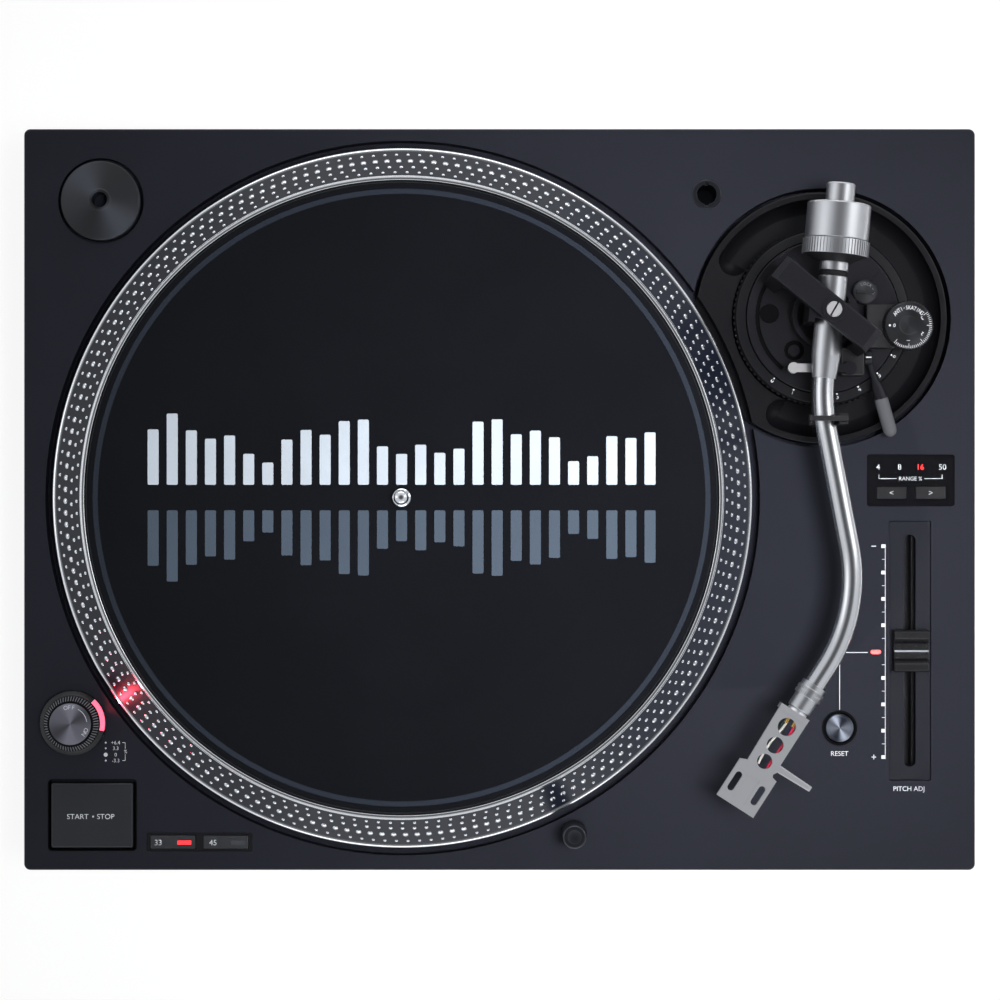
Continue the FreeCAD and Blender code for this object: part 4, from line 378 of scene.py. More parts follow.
@dataclass(frozen=True)
class Spun:
    """Dark metal turned on a lathe, with a painted highlight: opposite wedges of sheen, painted into its colour,
    run out from its centre.
    """

    name: str
    dark: Color
    light: Color
    centre: Point2
    heading: float
    power: float = 8.0
    broad: float = 0.4
    roughness: float = 0.4

    def make(self) -> Material:
        """Build the material."""
        graph = Shader(self.name)
        centre = (self.centre[0] * MM, self.centre[1] * MM, 0)
        flat = graph.mapped(centre, (1, 1, 0))
        ray = graph.node("ShaderNodeVectorMath", {0: flat}, operation="NORMALIZE")

        def wedge(degrees: float, power: float) -> Value:
            """A pair of painted highlight wedges along one direction."""
            heading = (*polar((0, 0), 1, degrees), 0)
            along = graph.node("ShaderNodeVectorMath", {0: ray, 1: heading}, operation="DOT_PRODUCT")
            return graph.out(along, "Value").math("ABSOLUTE").math("POWER", power)

        lines = graph.noise(graph.node("ShaderNodeCombineXYZ", {0: graph.radius(centre)}), 3000.0, 3.0)
        # The sheen is a painted highlight: these wedges lighten the base colour from dark towards light.
        sheen = wedge(self.heading, self.power) + wedge(self.heading + 66, self.power / 2.5) * self.broad
        return graph.surface(
            Base_Color=graph.mix(sheen * (0.7 + lines * 0.6), shade(self.dark), shade(self.light)),
            Metallic=0.35,
            Roughness=self.roughness - 0.05 + lines * 0.1,
            Normal=graph.bump(lines, 0.1, 0.00001),
        )


@dataclass(frozen=True)
class Glow:
    """A lamp or a lit window: a clear tint over a light of its own."""

    name: str
    color: Color
    strength: float = 3.0
    roughness: float = 0.25

    def make(self) -> Material:
        """Build the material."""
        graph = Shader(self.name)
        cells = graph.noise(graph.place, 900.0, 2.0)
        return graph.surface(
            Base_Color=graph.mix(cells, shade(self.color, 0.75), shade(self.color)),
            Roughness=self.roughness,
            Emission_Color=graph.mix(cells, shade(self.color, 0.85), shade(self.color, 1.15)),
            Emission_Strength=self.strength,
        )


@dataclass(frozen=True)
class Felt:
    """The slipmat's cloth, with its printed ring."""

    name: str
    color: Color
    ring_color: Color
    centre: Point2
    ring_r: float
    ring_w: float

    def make(self) -> Material:
        """Build the material."""
        graph = Shader(self.name)
        fibre = graph.noise(graph.mapped(scale=(1, 0.35, 1)), 2100.0, 5.0)
        cross = graph.noise(graph.mapped(scale=(0.35, 1, 1)), 1700.0, 5.0)
        cloud = graph.noise(graph.place, 24.0, 4.0)
        nap = fibre * 0.5 + cross * 0.5
        cloth = graph.mix(nap * 0.7 + cloud * 0.3, shade(self.color, 0.45), shade(self.color, 1.6))
        print_ = graph.mix(nap, shade(self.ring_color, 0.7), shade(self.ring_color, 1.25))
        centre = (self.centre[0] * MM, self.centre[1] * MM, 0)
        off = (graph.radius(centre) - self.ring_r * MM).math("ABSOLUTE")
        ring = off < self.ring_w * MM / 2
        return graph.surface(
            Base_Color=graph.mix(ring, cloth, print_),
            Roughness=0.86 + nap * 0.1,
            Specular_IOR_Level=0.05,
            Sheen_Weight=0.01,
            Sheen_Roughness=0.5,
            Normal=graph.bump(nap, 0.55, 0.00018),
        )


class Finish(Enum):
    """Every finish of the turntable."""

    DECK = Moulded("deck_paint", (21, 22, 28), 0.5, 1600.0, 0.00004, 0.4, 0.26, 0.0, 0.12)
    BASE = Moulded("base_resin", (24, 24, 26), 0.62, 1500.0, 0.00006, 0.35)
    # Near black: the power knob's skirt, and painted shade in pockets, gaps and recesses.
    WELL = Moulded("black_and_pocket_shade", (5, 5, 6), 0.7, 2200.0, specular=0.06)
    PLASTIC = Moulded("black_plastic", (17, 17, 19), 0.42, 2600.0, specular=0.4)
    SMOOTH = Moulded("smooth_black_plastic", (14, 14, 16), 0.28, 4200.0, 0.00001, 0.1, specular=0.4)
    PANEL = Moulded("gloss_panel", (5, 5, 7), 0.2, 4200.0, 0.000004, 0.05, 0.05, 0.1, 0.15)
    FADER = Moulded("fader_panel", (17, 18, 23), 0.4, 2600.0, 0.00002, 0.2, 0.15, 0.0, 0.15)
    KEY = Moulded("key_grey", (32, 33, 36), 0.4, 3600.0, 0.00002, 0.2, specular=0.4)
    START = Moulded("start_key_grey", (24, 25, 28), 0.42, 3600.0, 0.00002, 0.2, specular=0.4)
    RUBBER = Moulded("foot_rubber", (16, 16, 17), 0.8, 1200.0, 0.00008, 0.4, specular=0.2)
    GREY_RUBBER = Moulded("lever_grip", (56, 57, 60), 0.7, 2200.0, 0.00004, 0.3, specular=0.3)
    BOARD = Moulded("circuit_board", (20, 70, 40), 0.45, 900.0)
    INK = Moulded("white_ink", (160, 162, 166), 0.5, 5200.0, 0.000006, 0.1, 0.04)
    GREY_INK = Moulded("grey_ink", (96, 98, 104), 0.5, 5200.0, 0.000006, 0.1, 0.04)
    DIM_LAMP = Moulded("unlit_lamp", (44, 46, 50), 0.35, 4200.0)
    RED_INK = Glow("red_digits", (235, 40, 40), 1.1)
    RED_LAMP = Glow("red_lamp", (246, 48, 52), 1.1)
    STROBE = Glow("strobe_window", (250, 92, 116), 1.3)
    MAT = Felt("slipmat_felt", (11, 12, 15), (30, 34, 41), PLATTER_AT, 144.3, 2.4)
    BAR_LIGHT = Moulded("mat_print_light", (140, 147, 155), 0.85, 2100.0, 0.00012, 0.5, 0.2, specular=0.1)
    BAR_DARK = Moulded("mat_print_dark", (54, 62, 72), 0.85, 2100.0, 0.00012, 0.5, 0.2, specular=0.1)
    BAND = Metal("strobe_band", (10, 13, 22), 0.3, Brushing.TURNED, (*PLATTER_AT, 0), marks=0.1, metallic=0.0)
    POLISHED = Metal("polished_rim", (242, 243, 246), 0.2, Brushing.TURNED, (*PLATTER_AT, 0), marks=0.04)
    CAST = Metal("platter_casting", (120, 122, 126), 0.5)
    CHROME = Metal("chrome", (222, 224, 228), 0.1, marks=0.03)
    STEEL = Metal("steel", (176, 177, 180), 0.32)
    LIFT = Metal("lift_silver", (104, 104, 106), 0.4, marks=0.04, metallic=0.1)
    SATIN = Metal("satin_silver", (196, 197, 200), 0.34, marks=0.05)
    TUBE = Metal("tube_silver", (206, 207, 210), 0.24, marks=0.03)
    SHELL = Metal("shell_silver", (232, 232, 235), 0.42, marks=0.05)
    GUNMETAL = Metal("gunmetal", (72, 74, 80), 0.34)
    BLACK_METAL = Metal("black_anodised", (22, 22, 26), 0.42, metallic=0.6, marks=0.1)
    ARM_BASE = Metal("arm_base_black", (14, 14, 17), 0.4, metallic=0.5, marks=0.1)
    # These tops carry a painted highlight: wedges of sheen in their colour, along each heading.
    ADAPTER = Spun("adapter_black", (9, 9, 11), (46, 49, 56), (-189.8, 142.2), 128, 5.0, 0.15)
    POWER = Spun("power_black", (26, 26, 30), (96, 96, 106), (-202.6, -106.2), -95, 6.0, 0.6)
    RESET = Spun("reset_navy", (15, 18, 27), (104, 110, 122), (161.9, -108.8), 116, 14.0, 0.3, 0.3)
    SKATE = Spun("skate_black", (11, 11, 13), (26, 27, 30), (191.8, 81.3), 118, 6.0, 0.3)
    LOCK = Spun("lock_black", (13, 13, 15), (34, 35, 38), (172.5, 97.7), 120, 6.0, 0.3)
    RIB = Moulded("knob_rib", (96, 98, 104), 0.5, 3000.0)
    BRASS = Metal("brass", (196, 160, 96), 0.3)
    GOLD = Metal("gold_plate", (222, 184, 104), 0.24, marks=0.04)
    LEAD_WHITE = Moulded("lead_white", (130, 128, 124), 0.5, 3000.0)
    LEAD_RED = Moulded("lead_red", (132, 14, 40), 0.5, 3000.0)
    LEAD_GREEN = Moulded("lead_green", (24, 56, 44), 0.5, 3000.0)
    LEAD_BLUE = Moulded("lead_blue", (30, 44, 76), 0.5, 3000.0)


_made: dict[Finish, Material] = {}


def material(finish: Finish) -> Material:
    """The material of a finish, built once."""
    if finish not in _made:
        _made[finish] = finish.value.make()
    return _made[finish]


# Meshes

def evaluated(name: str, mesh: Mesh, kind: str, settings: dict) -> Mesh:
    """Apply one modifier to a mesh and give back a plain mesh.

    Args:
        name: The result's name.
        mesh: The mesh, which is removed.
        kind: The modifier's type.
        settings: Its properties; a node group's inputs go by their names.

    Returns:
        The new mesh.
    """
    holder = bpy.data.objects.new(name, mesh)
    bpy.context.scene.collection.objects.link(holder)
    modifier = holder.modifiers.new("form", kind)
    inputs = {}
    for key, value in settings.items():
        if hasattr(modifier, key):
            setattr(modifier, key, value)
        else:
            inputs[key] = value
    if inputs:
        for item in modifier.node_group.interface.items_tree:
            if item.name in inputs:
                modifier[item.identifier] = inputs[item.name]
    graph = bpy.context.evaluated_depsgraph_get()
    result = bpy.data.meshes.new_from_object(holder.evaluated_get(graph), depsgraph=graph)
    bpy.data.objects.remove(holder)
    bpy.data.meshes.remove(mesh)
    result.name = name
    return result


def finish_mesh(work: BMesh, name: str, placed: Matrix | None = None) -> Mesh:
    """Turn a working mesh in millimetres into a smooth one in metres.

    Args:
        work: The working mesh, which is freed.
        name: The mesh's name.
        placed: Where it goes, in millimetres.

    Returns:
        The mesh.
    """
    bmesh.ops.recalc_face_normals(work, faces=work.faces)
    work.transform(Matrix.Scale(MM, 4) @ (placed or Matrix.Identity(4)))
    mesh = bpy.data.meshes.new(name)
    work.to_mesh(mesh)
    work.free()
    mesh.polygons.foreach_set("use_smooth", [True] * len(mesh.polygons))
    mesh.set_sharp_from_angle(angle=SHARP)
    return evaluated(name, mesh, "WEIGHTED_NORMAL", {"keep_sharp": True})


def piece(name: str, mesh: Mesh, body: str, finishes: Sequence[Finish],
          replaced: Iterable[str] = ()) -> Piece:
    """Put a mesh in the scene as a piece of the turntable.

    Args:
        name: The piece's name.
        mesh: Its mesh, in place and in metres.
        body: The body that carries it.
        finishes: A finish for each of the mesh's material numbers.
        replaced: The solids that it stands for.

    Returns:
        The piece.
    """
    made = bpy.data.objects.new(name, mesh)
    bpy.context.scene.collection.objects.link(made)
    for i, finish in enumerate(finishes):
        if i == len(mesh.materials):
            mesh.materials.append(None)
        mesh.materials[i] = material(finish)
    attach(made, body)
    if replaced:
        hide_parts(*replaced)
    log.info("%s: %d faces on %s", name, len(mesh.polygons), body)
    return made


def upright(at: Point2) -> Matrix:
    """Place a shape on an upright axis."""
    return Matrix.Translation((*at, 0))


def polar(centre: Point2, radius: float, degrees: float) -> Point2:
    """A place at a radius and an angle from a centre."""
    angle = math.radians(degrees)
    return centre[0] + radius * math.cos(angle), centre[1] + radius * math.sin(angle)


def axial(origin: Vector, direction: Vector) -> Matrix:
    """Place a shape's own upright axis along a direction."""
    turn = Vector((0, 0, 1)).rotation_difference(direction).to_matrix().to_4x4()
    return Matrix.Translation(origin) @ turn


def eased(points: Sequence[Point2], size: float) -> list[Point2]:
    """Round the corners of an open profile a little.

    Args:
        points: The profile's points.
        size: How far from each corner its rounding starts.

    Returns:
        The profile with three points for each inner corner.
    """
    result = [points[0]]
    for before, corner, after in zip(points, points[1:], points[2:]):
        a, c, b = Vector(before), Vector(corner), Vector(after)
        reach = min(size, (a - c).length * 0.45, (b - c).length * 0.45)
        first = c + (a - c).normalized() * reach
        last = c + (b - c).normalized() * reach
        result += [tuple(first), tuple((first + last) * 0.25 + c * 0.5), tuple(last)]
    return [*result, points[-1]]


def lathe(profile: Sequence[Point2], segments: int = 96,
          numbers: Callable[[float, float], int] | None = None) -> BMesh:
    """Spin a profile about the upright axis.

    Args:
        profile: Radii and levels in order; a first and last radius of 0 close the shape at a pole.
        segments: Steps round the axis.
        numbers: Gives a material number from a face's middle radius and level.

    Returns:
        The working mesh.
    """
    work = bmesh.new()
    rings = []
    for radius, level in profile:
        spots = [polar((0, 0), radius, 360 * i / segments) for i in range(segments if radius else 1)]
        rings.append([work.verts.new((*spot, level)) for spot in spots])
    pairs = [(i - 1, i) for i in range(1, len(rings))]
    if len(rings[0]) > 1 and len(rings[-1]) > 1:
        pairs.append((len(rings) - 1, 0))
    for low, high in pairs:
        a, b = rings[low], rings[high]
        middle = [(first + second) / 2 for first, second in zip(profile[low], profile[high])]
        number = numbers(*middle) if numbers else 0
        for i in range(segments):
            j = (i + 1) % segments
            corners = (a if len(a) == 1 else [a[i], a[j]]) + (b if len(b) == 1 else [b[j], b[i]])
            if len(corners) > 2:
                work.faces.new(corners).material_index = number
    return work


def prism(points: Sequence[Point2], low: float, high: float, ease: float = 0.0) -> BMesh:
    """An upright solid on an outline, with its top edge eased.

    Args:
        points: The outline.
        low, high: Its levels.
        ease: Width of the top edge's bevel.

    Returns:
        The working mesh.
    """
    work = bmesh.new()
    face = work.faces.new([work.verts.new((x, y, low)) for x, y in points])
    grown = bmesh.ops.extrude_face_region(work, geom=[face])["geom"]
    top = [v for v in grown if isinstance(v, bmesh.types.BMVert)]
    bmesh.ops.translate(work, vec=(0, 0, high - low), verts=top)
    if ease > 0:
        edges = [e for e in work.edges if all(abs(v.co.z - high) < 1e-6 for v in e.verts)]
        bmesh.ops.bevel(work, geom=edges, offset=ease, segments=3, profile=0.5, affect="EDGES")
    return work


def rounded(width: float, depth: float, corner: float, at: Point2 = (0, 0), steps: int = 5) -> list[Point2]:
    """The outline of a rectangle with round corners.

    Args:
        width, depth: Its size.
        corner: The corners' radius.
        at: Its centre.
        steps: Points on each corner.

    Returns:
        The outline.
    """
    points = []
    for k, (sx, sy) in enumerate(((1, 1), (-1, 1), (-1, -1), (1, -1))):
        cx = at[0] + sx * (width / 2 - corner)
        cy = at[1] + sy * (depth / 2 - corner)
        points += [polar((cx, cy), corner, 90 * (k + i / steps)) for i in range(steps + 1)]
    return points


def frame_prism(outer: Sequence[Point2], inner: Sequence[Point2], low: float, high: float) -> BMesh:
    """An upright frame between two outlines with as many points each.

    Args:
        outer, inner: The outlines.
        low, high: The levels.

    Returns:
        The working mesh.
    """
    work = bmesh.new()
    loops = [
        [work.verts.new((x, y, z)) for x, y in line]
        for line, z in ((outer, low), (outer, high), (inner, high), (inner, low))
    ]
    count = len(outer)
    for a, b in zip(loops, loops[1:] + loops[:1]):
        for i in range(count):
            j = (i + 1) % count
            work.faces.new([a[i], a[j], b[j], b[i]])
    return work


def merged(meshes: Sequence[BMesh]) -> BMesh:
    """Put several working meshes into one.

    Args:
        meshes: The working meshes, which are freed.

    Returns:
        The working mesh.
    """
    work = bmesh.new()
    for part in meshes:
        holder = bpy.data.meshes.new("part")
        part.to_mesh(holder)
        part.free()
        work.from_mesh(holder)
        bpy.data.meshes.remove(holder)
    return work


def swept(path: Sequence[Vector], radii: Sequence[float], sides: int = 32) -> BMesh:
    """A round bar along points.

    Args:
        path: The points of its centreline.
        radii: Its radius at each point.
        sides: Points round its section.

    Returns:
        The working mesh, closed at both ends.
    """
    work = bmesh.new()
    rings = []
    normal = None
    for i, point in enumerate(path):
        ahead = path[min(i + 1, len(path) - 1)] - path[max(i - 1, 0)]
        ahead.normalize()
        if normal is None:
            normal = ahead.orthogonal().normalized()
        normal = (normal - ahead * normal.dot(ahead)).normalized()
        side = ahead.cross(normal)
        ring = []
        for k in range(sides):
            angle = 2 * math.pi * k / sides
            offset = normal * math.cos(angle) + side * math.sin(angle)
            ring.append(work.verts.new(point + offset * radii[i]))
        rings.append(ring)
    for a, b in zip(rings, rings[1:]):
        for k in range(sides):
            j = (k + 1) % sides
            work.faces.new([a[k], a[j], b[j], b[k]])
    work.faces.new(rings[0])
    work.faces.new(rings[-1])
    return work


def from_solid(nodes: dict[str, Piece], name: str, bevel: float) -> BMesh:
    """A solid's mesh, merged and with its edges eased.

    Args:
        nodes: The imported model's solids.
        name: The solid.
        bevel: Width of the eased edges.

    Returns:
        The working mesh, in millimetres.
    """
    work = bmesh.new()
    work.from_mesh(nodes[name].data)
    work.transform(Matrix.Scale(1 / MM, 4))
    for face in work.faces:
        face.material_index = 0
    bmesh.ops.remove_doubles(work, verts=work.verts, dist=WELD)
    bmesh.ops.dissolve_limit(
        work, angle_limit=LEVEL, verts=work.verts, edges=work.edges, use_dissolve_boundaries=False)
    if bevel > 0:
        edges = [e for e in work.edges if len(e.link_faces) == 2 and e.calc_face_angle(0) > SHARP]
        bmesh.ops.bevel(
            work, geom=edges, offset=bevel, segments=2, profile=0.5, affect="EDGES", clamp_overlap=True)
    return work


# Patterns that repeat

class Bead(Enum):
    """What a ring of repeats is made of."""

    DOT = "dot"
    BAR = "bar"


class RingPattern:
    """Small beads at even steps round an axis, as a Geometry Nodes tree."""

    def __init__(self, bead: Bead) -> None:
        """Build the tree.

        Args:
            bead: The repeated shape.
        """
        self.group = bpy.data.node_groups.new(f"ring_of_{bead.value}s", "GeometryNodeTree")
        faces = self.group.interface
        faces.new_socket("Geometry", in_out="OUTPUT", socket_type="NodeSocketGeometry")
        kinds = {"Count": "Int", "Size": "Vector", "Material": "Material"}
        for name in ("Count", "Radius", "Level", "Start", "Step", "Tilt", "Size", "Material"):
            faces.new_socket(name, in_out="INPUT", socket_type=f"NodeSocket{kinds.get(name, 'Float')}")
        graph = NodeGraph(self.group)
        inputs = graph.node("NodeGroupInput")
        points = graph.node("GeometryNodePoints", {"Count": inputs.outputs["Count"]})
        index = graph.out(graph.node("GeometryNodeInputIndex"))
        angle = index * graph.out(inputs, "Step") + graph.out(inputs, "Start")
        radius = graph.out(inputs, "Radius")
        place = graph.node("ShaderNodeCombineXYZ", {
            0: angle.math("COSINE") * radius, 1: angle.math("SINE") * radius, 2: inputs.outputs["Level"]})
        placed = graph.node("GeometryNodeSetPosition", {"Geometry": points, "Position": place})
        if bead is Bead.DOT:
            shape = graph.node("GeometryNodeMeshUVSphere", {"Segments": 10, "Rings": 6, "Radius": 0.5})
        else:
            shape = graph.node("GeometryNodeMeshCube", {"Size": (1.0, 1.0, 1.0)})
        smooth = graph.node("GeometryNodeSetShadeSmooth", {"Geometry": shape, "Shade Smooth": bead is Bead.DOT})
        turn = graph.node("ShaderNodeCombineXYZ", {1: inputs.outputs["Tilt"], 2: angle})
        beads = graph.node("GeometryNodeInstanceOnPoints", {
            "Points": placed, "Instance": smooth, "Rotation": turn, "Scale": inputs.outputs["Size"]})
        real = graph.node("GeometryNodeRealizeInstances", {0: beads})
        dressed = graph.node("GeometryNodeSetMaterial", {"Geometry": real, "Material": inputs.outputs["Material"]})
        graph.node("NodeGroupOutput", {0: dressed})

    def mesh(self, name: str, placed: Matrix, finish: Finish, count: int, radius: float, level: float,
             size: Point3, start: float = 0.0, tilt: float = 0.0) -> Mesh:
        """Evaluate the pattern.

        Args:
            name: The mesh's name.
            placed: Where it goes, in millimetres.
            finish: The beads' finish.
            count: How many beads.
            radius, level: Their distance from the axis and their height.
            size: A bead's size outwards, along the ring and upwards.
            start: The first bead's angle.
            tilt: The beads' slope outwards.

        Returns:
            A plain mesh in metres.
        """
        mesh = evaluated(name, bpy.data.meshes.new(f"{name}_holder"), "NODES", {
            "node_group": self.group, "Count": count, "Radius": radius, "Level": level, "Start": start,
            "Tilt": tilt, "Step": 2 * math.pi / count, "Size": size, "Material": material(finish)})
        mesh.transform(Matrix.Scale(MM, 4) @ placed)
        return mesh


# Lettering

@dataclass
class Lettering:
    """Printed words, figures and lines: each is a thin raised mesh."""

    thick: float = 0.05
    capital: float = 0.72  # A capital's height as a share of the font's size

    def flat(self, text: str, size: float, at: Point2, level: float, turn: float = 0.0,
             wide: float = 1.0) -> BMesh:
        """Cut one word that lies flat.

        Args:
            text: The word or figure.
            size: The height of its capitals.
            at: Its centre.
            level: The surface that it lies on.
            turn: Its turn on that surface, in degrees.
            wide: Its stretch sideways.

        Returns:
            The working mesh.
        """
        curve = bpy.data.curves.new("lettering", "FONT")
        curve.body = text
        curve.size = size / self.capital
        curve.extrude = self.thick / 2
        curve.resolution_u = 3
        holder = bpy.data.objects.new("lettering", curve)
        mesh = bpy.data.meshes.new_from_object(holder)
        work = bmesh.new()
        work.from_mesh(mesh)
        spans = [[v.co[axis] for v in work.verts] for axis in (0, 1)]
        middle = Vector((*[(min(span) + max(span)) / 2 for span in spans], 0))
        placed = Matrix.Translation((*at, level + self.thick / 2)) @ Matrix.Rotation(math.radians(turn), 4, "Z")
        work.transform(placed @ Matrix.Diagonal((wide, 1, 1, 1)) @ Matrix.Translation(-middle))
        bpy.data.objects.remove(holder)
        bpy.data.curves.remove(curve)
        bpy.data.meshes.remove(mesh)
        return work

    def arc(self, text: str, size: float, at: Point2, level: float, radius: float, middle: float,
            step: float, wide: float = 1.0) -> list[BMesh]:
        """Set a word round an arc.

        Args:
            text, size, level, wide: As for a flat word.
            at: The arc's centre.
            radius: The arc's radius.
            middle: The angle of the word's middle, in degrees.
            step: The angle from letter to letter, in degrees.

        Returns:
            A working mesh for each letter.
        """
        angles = [middle - step * (i - (len(text) - 1) / 2) for i in range(len(text))]
        return [
            self.flat(letter, size, polar(at, radius, angle), level, angle - 90, wide)
            for letter, angle in zip(text, angles)
        ]

    def line(self, start: Point2, end: Point2, width: float, level: float) -> BMesh:
        """A printed line.

        Args:
            start, end: Its ends.
            width: Its width.
            level: The surface that it lies on.

        Returns:
            The working mesh.
        """
        a, b = Vector(start), Vector(end)
        side = (b - a).normalized().orthogonal() * width / 2
        corners = [a + side, a - side, b - side, b + side]
        return prism([tuple(c) for c in corners], level, level + self.thick)

    def run(self, points: Sequence[Point2], width: float, level: float) -> list[BMesh]:
        """Printed lines from point to point, each as its own working mesh."""
        return [self.line(a, b, width, level) for a, b in zip(points, points[1:])]

    def dot(self, size: float, corner: float, at: Point2, level: float, thick: float = 0.05,
            steps: int = 5) -> BMesh:
        """A printed dot, or a square with round corners.

        Args:
            size, corner: Its size and the radius of its corners.
            at, level: Its centre and the surface that it lies on.
            thick: Its thickness.
            steps: Points on each corner.

        Returns:
            The working mesh.
        """
        return prism(rounded(size, size, corner, at, steps), level, level + thick)


# Sub-assemblies

@dataclass
class Workshop:
    """What every sub-assembly needs to make its pieces."""

    nodes: dict[str, Piece]
    dots: RingPattern
    bars: RingPattern
    ink: Lettering = field(default_factory=Lettering)

    def dress(self, finish: Finish, *names: str) -> None:
        """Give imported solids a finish.

        Args:
            finish: Their finish.
            names: The solids, which are shown as they are.
        """
        for name in names:
            mesh = self.nodes[name].data
            mesh.materials.clear()
            mesh.materials.append(material(finish))

    def add(self, name: str, work: BMesh, body: str, slot: str, finishes: Sequence[Finish],
            replaced: Iterable[str] = (), placed: Matrix | None = None) -> Piece:
        """Put a working mesh in the scene.

        Args:
            name: The piece's name.
            work: The working mesh, which is freed.
            body, finishes, replaced: As for a piece.
            slot: Not used.
            placed: Where it goes, in millimetres.

        Returns:
            The piece.
        """
        return piece(name, finish_mesh(work, name, placed), body, finishes, replaced)

    def turned(self, name: str, profile: Sequence[Point2], placed: Matrix, body: str, slot: str,
               finishes: Sequence[Finish], replaced: Iterable[str] = (), ease: float = 0.2, steps: int = 64,
               numbers: Callable[[float, float], int] | None = None) -> None:
        """Add a piece that's turned on a lathe.

        Args:
            name: The piece's name.
            profile: Its radii and levels.
            placed: Where it goes, in millimetres.
            body, finishes, replaced: As for a piece.
            slot: Not used.
            ease: How far its corners are rounded.
            steps: Steps round its axis.
            numbers: Gives a material number from a face's middle radius and level.
        """
        outline = eased(profile, ease) if ease > 0 else profile
        self.add(name, lathe(outline, steps, numbers), body, slot, finishes, replaced, placed)

    def ribbed(self, name: str, placed: Matrix, body: str, slot: str, finish: Finish, count: int,
               radius: float, level: float, size: Point3, tilt: float = 0.0) -> None:
        """Add a ring of ribs.

        Args:
            name: The piece's name.
            placed: Where its axis goes, in millimetres.
            body, finish: As for a piece.
            slot: Not used.
            count, radius, level, size, tilt: As for the pattern.
        """
        mesh = self.bars.mesh(name, placed, finish, count, radius, level, size, tilt=tilt)
        piece(name, mesh, body, [finish])

    def ease(self, name: str, body: str, slot: str, finish: Finish, bevel: float = 0.3,
             second: Finish | None = None, where: Callable[[Vector], bool] | None = None,
             split: float | None = None) -> None:
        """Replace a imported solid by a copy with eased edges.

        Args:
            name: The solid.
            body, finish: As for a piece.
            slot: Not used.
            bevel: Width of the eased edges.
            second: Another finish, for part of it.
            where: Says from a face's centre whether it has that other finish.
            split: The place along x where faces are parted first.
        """
        work = from_solid(self.nodes, name, bevel)
        if split is not None:
            bmesh.ops.bisect_plane(
                work, geom=[*work.verts, *work.edges, *work.faces], plane_co=(split, 0, 0), plane_no=(1, 0, 0))
        for face in work.faces:
            face.material_index = int(where is not None and where(face.calc_center_median()))
        self.add(f"{name}_eased", work, body, slot, [finish] if second is None else [finish, second], [name])

    def printed(self, name: str, parts: Sequence[BMesh], body: str, slot: str,
                finish: Finish = Finish.INK) -> None:
        """Join printed marks into one piece.

        Args:
            name: The piece's name.
            parts: The marks.
            body: The body that carries them.
            slot: Not used.
            finish: Their ink.
        """
        self.add(name, merged(parts), body, slot, [finish])


@dataclass
class Plinth:
    """The deck, its base, its feet and what is let into the deck."""

    shop: Workshop
    feet: float = 176.5
    feet_deep: float = 128.5
    adapter_at: Point2 = (-189.8, 142.2)
    light_at: Point2 = (35.2, -158.5)

    def build(self) -> None:
        """Make every piece of the plinth."""
        shop = self.shop
        shop.dress(Finish.DECK, "plinth_top")
        shop.dress(Finish.BASE, "plinth_base")
        shop.dress(Finish.STEEL, "base_screws", "motor_stator", "power_supply")
        shop.dress(Finish.BOARD, "control_board")
        shop.dress(Finish.PLASTIC, "fader_body", "ac_inlet")
        shop.dress(Finish.BRASS, "spindle_bearing")
        shop.dress(Finish.GOLD, "phono_jacks", "ground_terminal")
        shop.dress(Finish.BLACK_METAL, "light_sleeve")
        self.make_feet()
        shop.turned("adapter_turned", [
            (3.7, 86), (19, 86), (19, 93.5), (18.4, 94.1), (5.3, 97.7), (4.9, 98), (3.7, 98),
        ], upright(self.adapter_at), "adapter_45", "bright_metal", [Finish.ADAPTER], ["adapter_45"], 0.25, 128)
        shop.ease("shell_stand", "chassis", "bright_metal", Finish.GUNMETAL, 0.2)
        shop.turned("target_light_barrel", [
            (0, 80), (5.6, 80), (5.6, 115.4), (5.0, 116), (3.2, 116), (3.2, 115.7), (0, 115.7),
        ], upright(self.light_at), "target_light", "bright_metal", [Finish.GUNMETAL], ["target_light"])

    def make_feet(self) -> None:
        """Damped feet with a moulded waist."""
        profile = [
            (0, 0), (28.5, 0), (30.5, 2), (30.5, 11), (29, 12), (29, 13), (26.5, 19), (12, 22.5), (10, 23),
            (10, 26), (4, 26), (4, 48), (0, 48),
        ]
        for side, sx in (("left", -1), ("right", 1)):
            for end, sy in (("front", -1), ("rear", 1)):
                name = f"foot_{end}_{side}"
                self.shop.turned(
                    f"{name}_pad", profile, upright((sx * self.feet, sy * self.feet_deep)), name, "black_rubber",
                    [Finish.RUBBER], [name], 0.5)


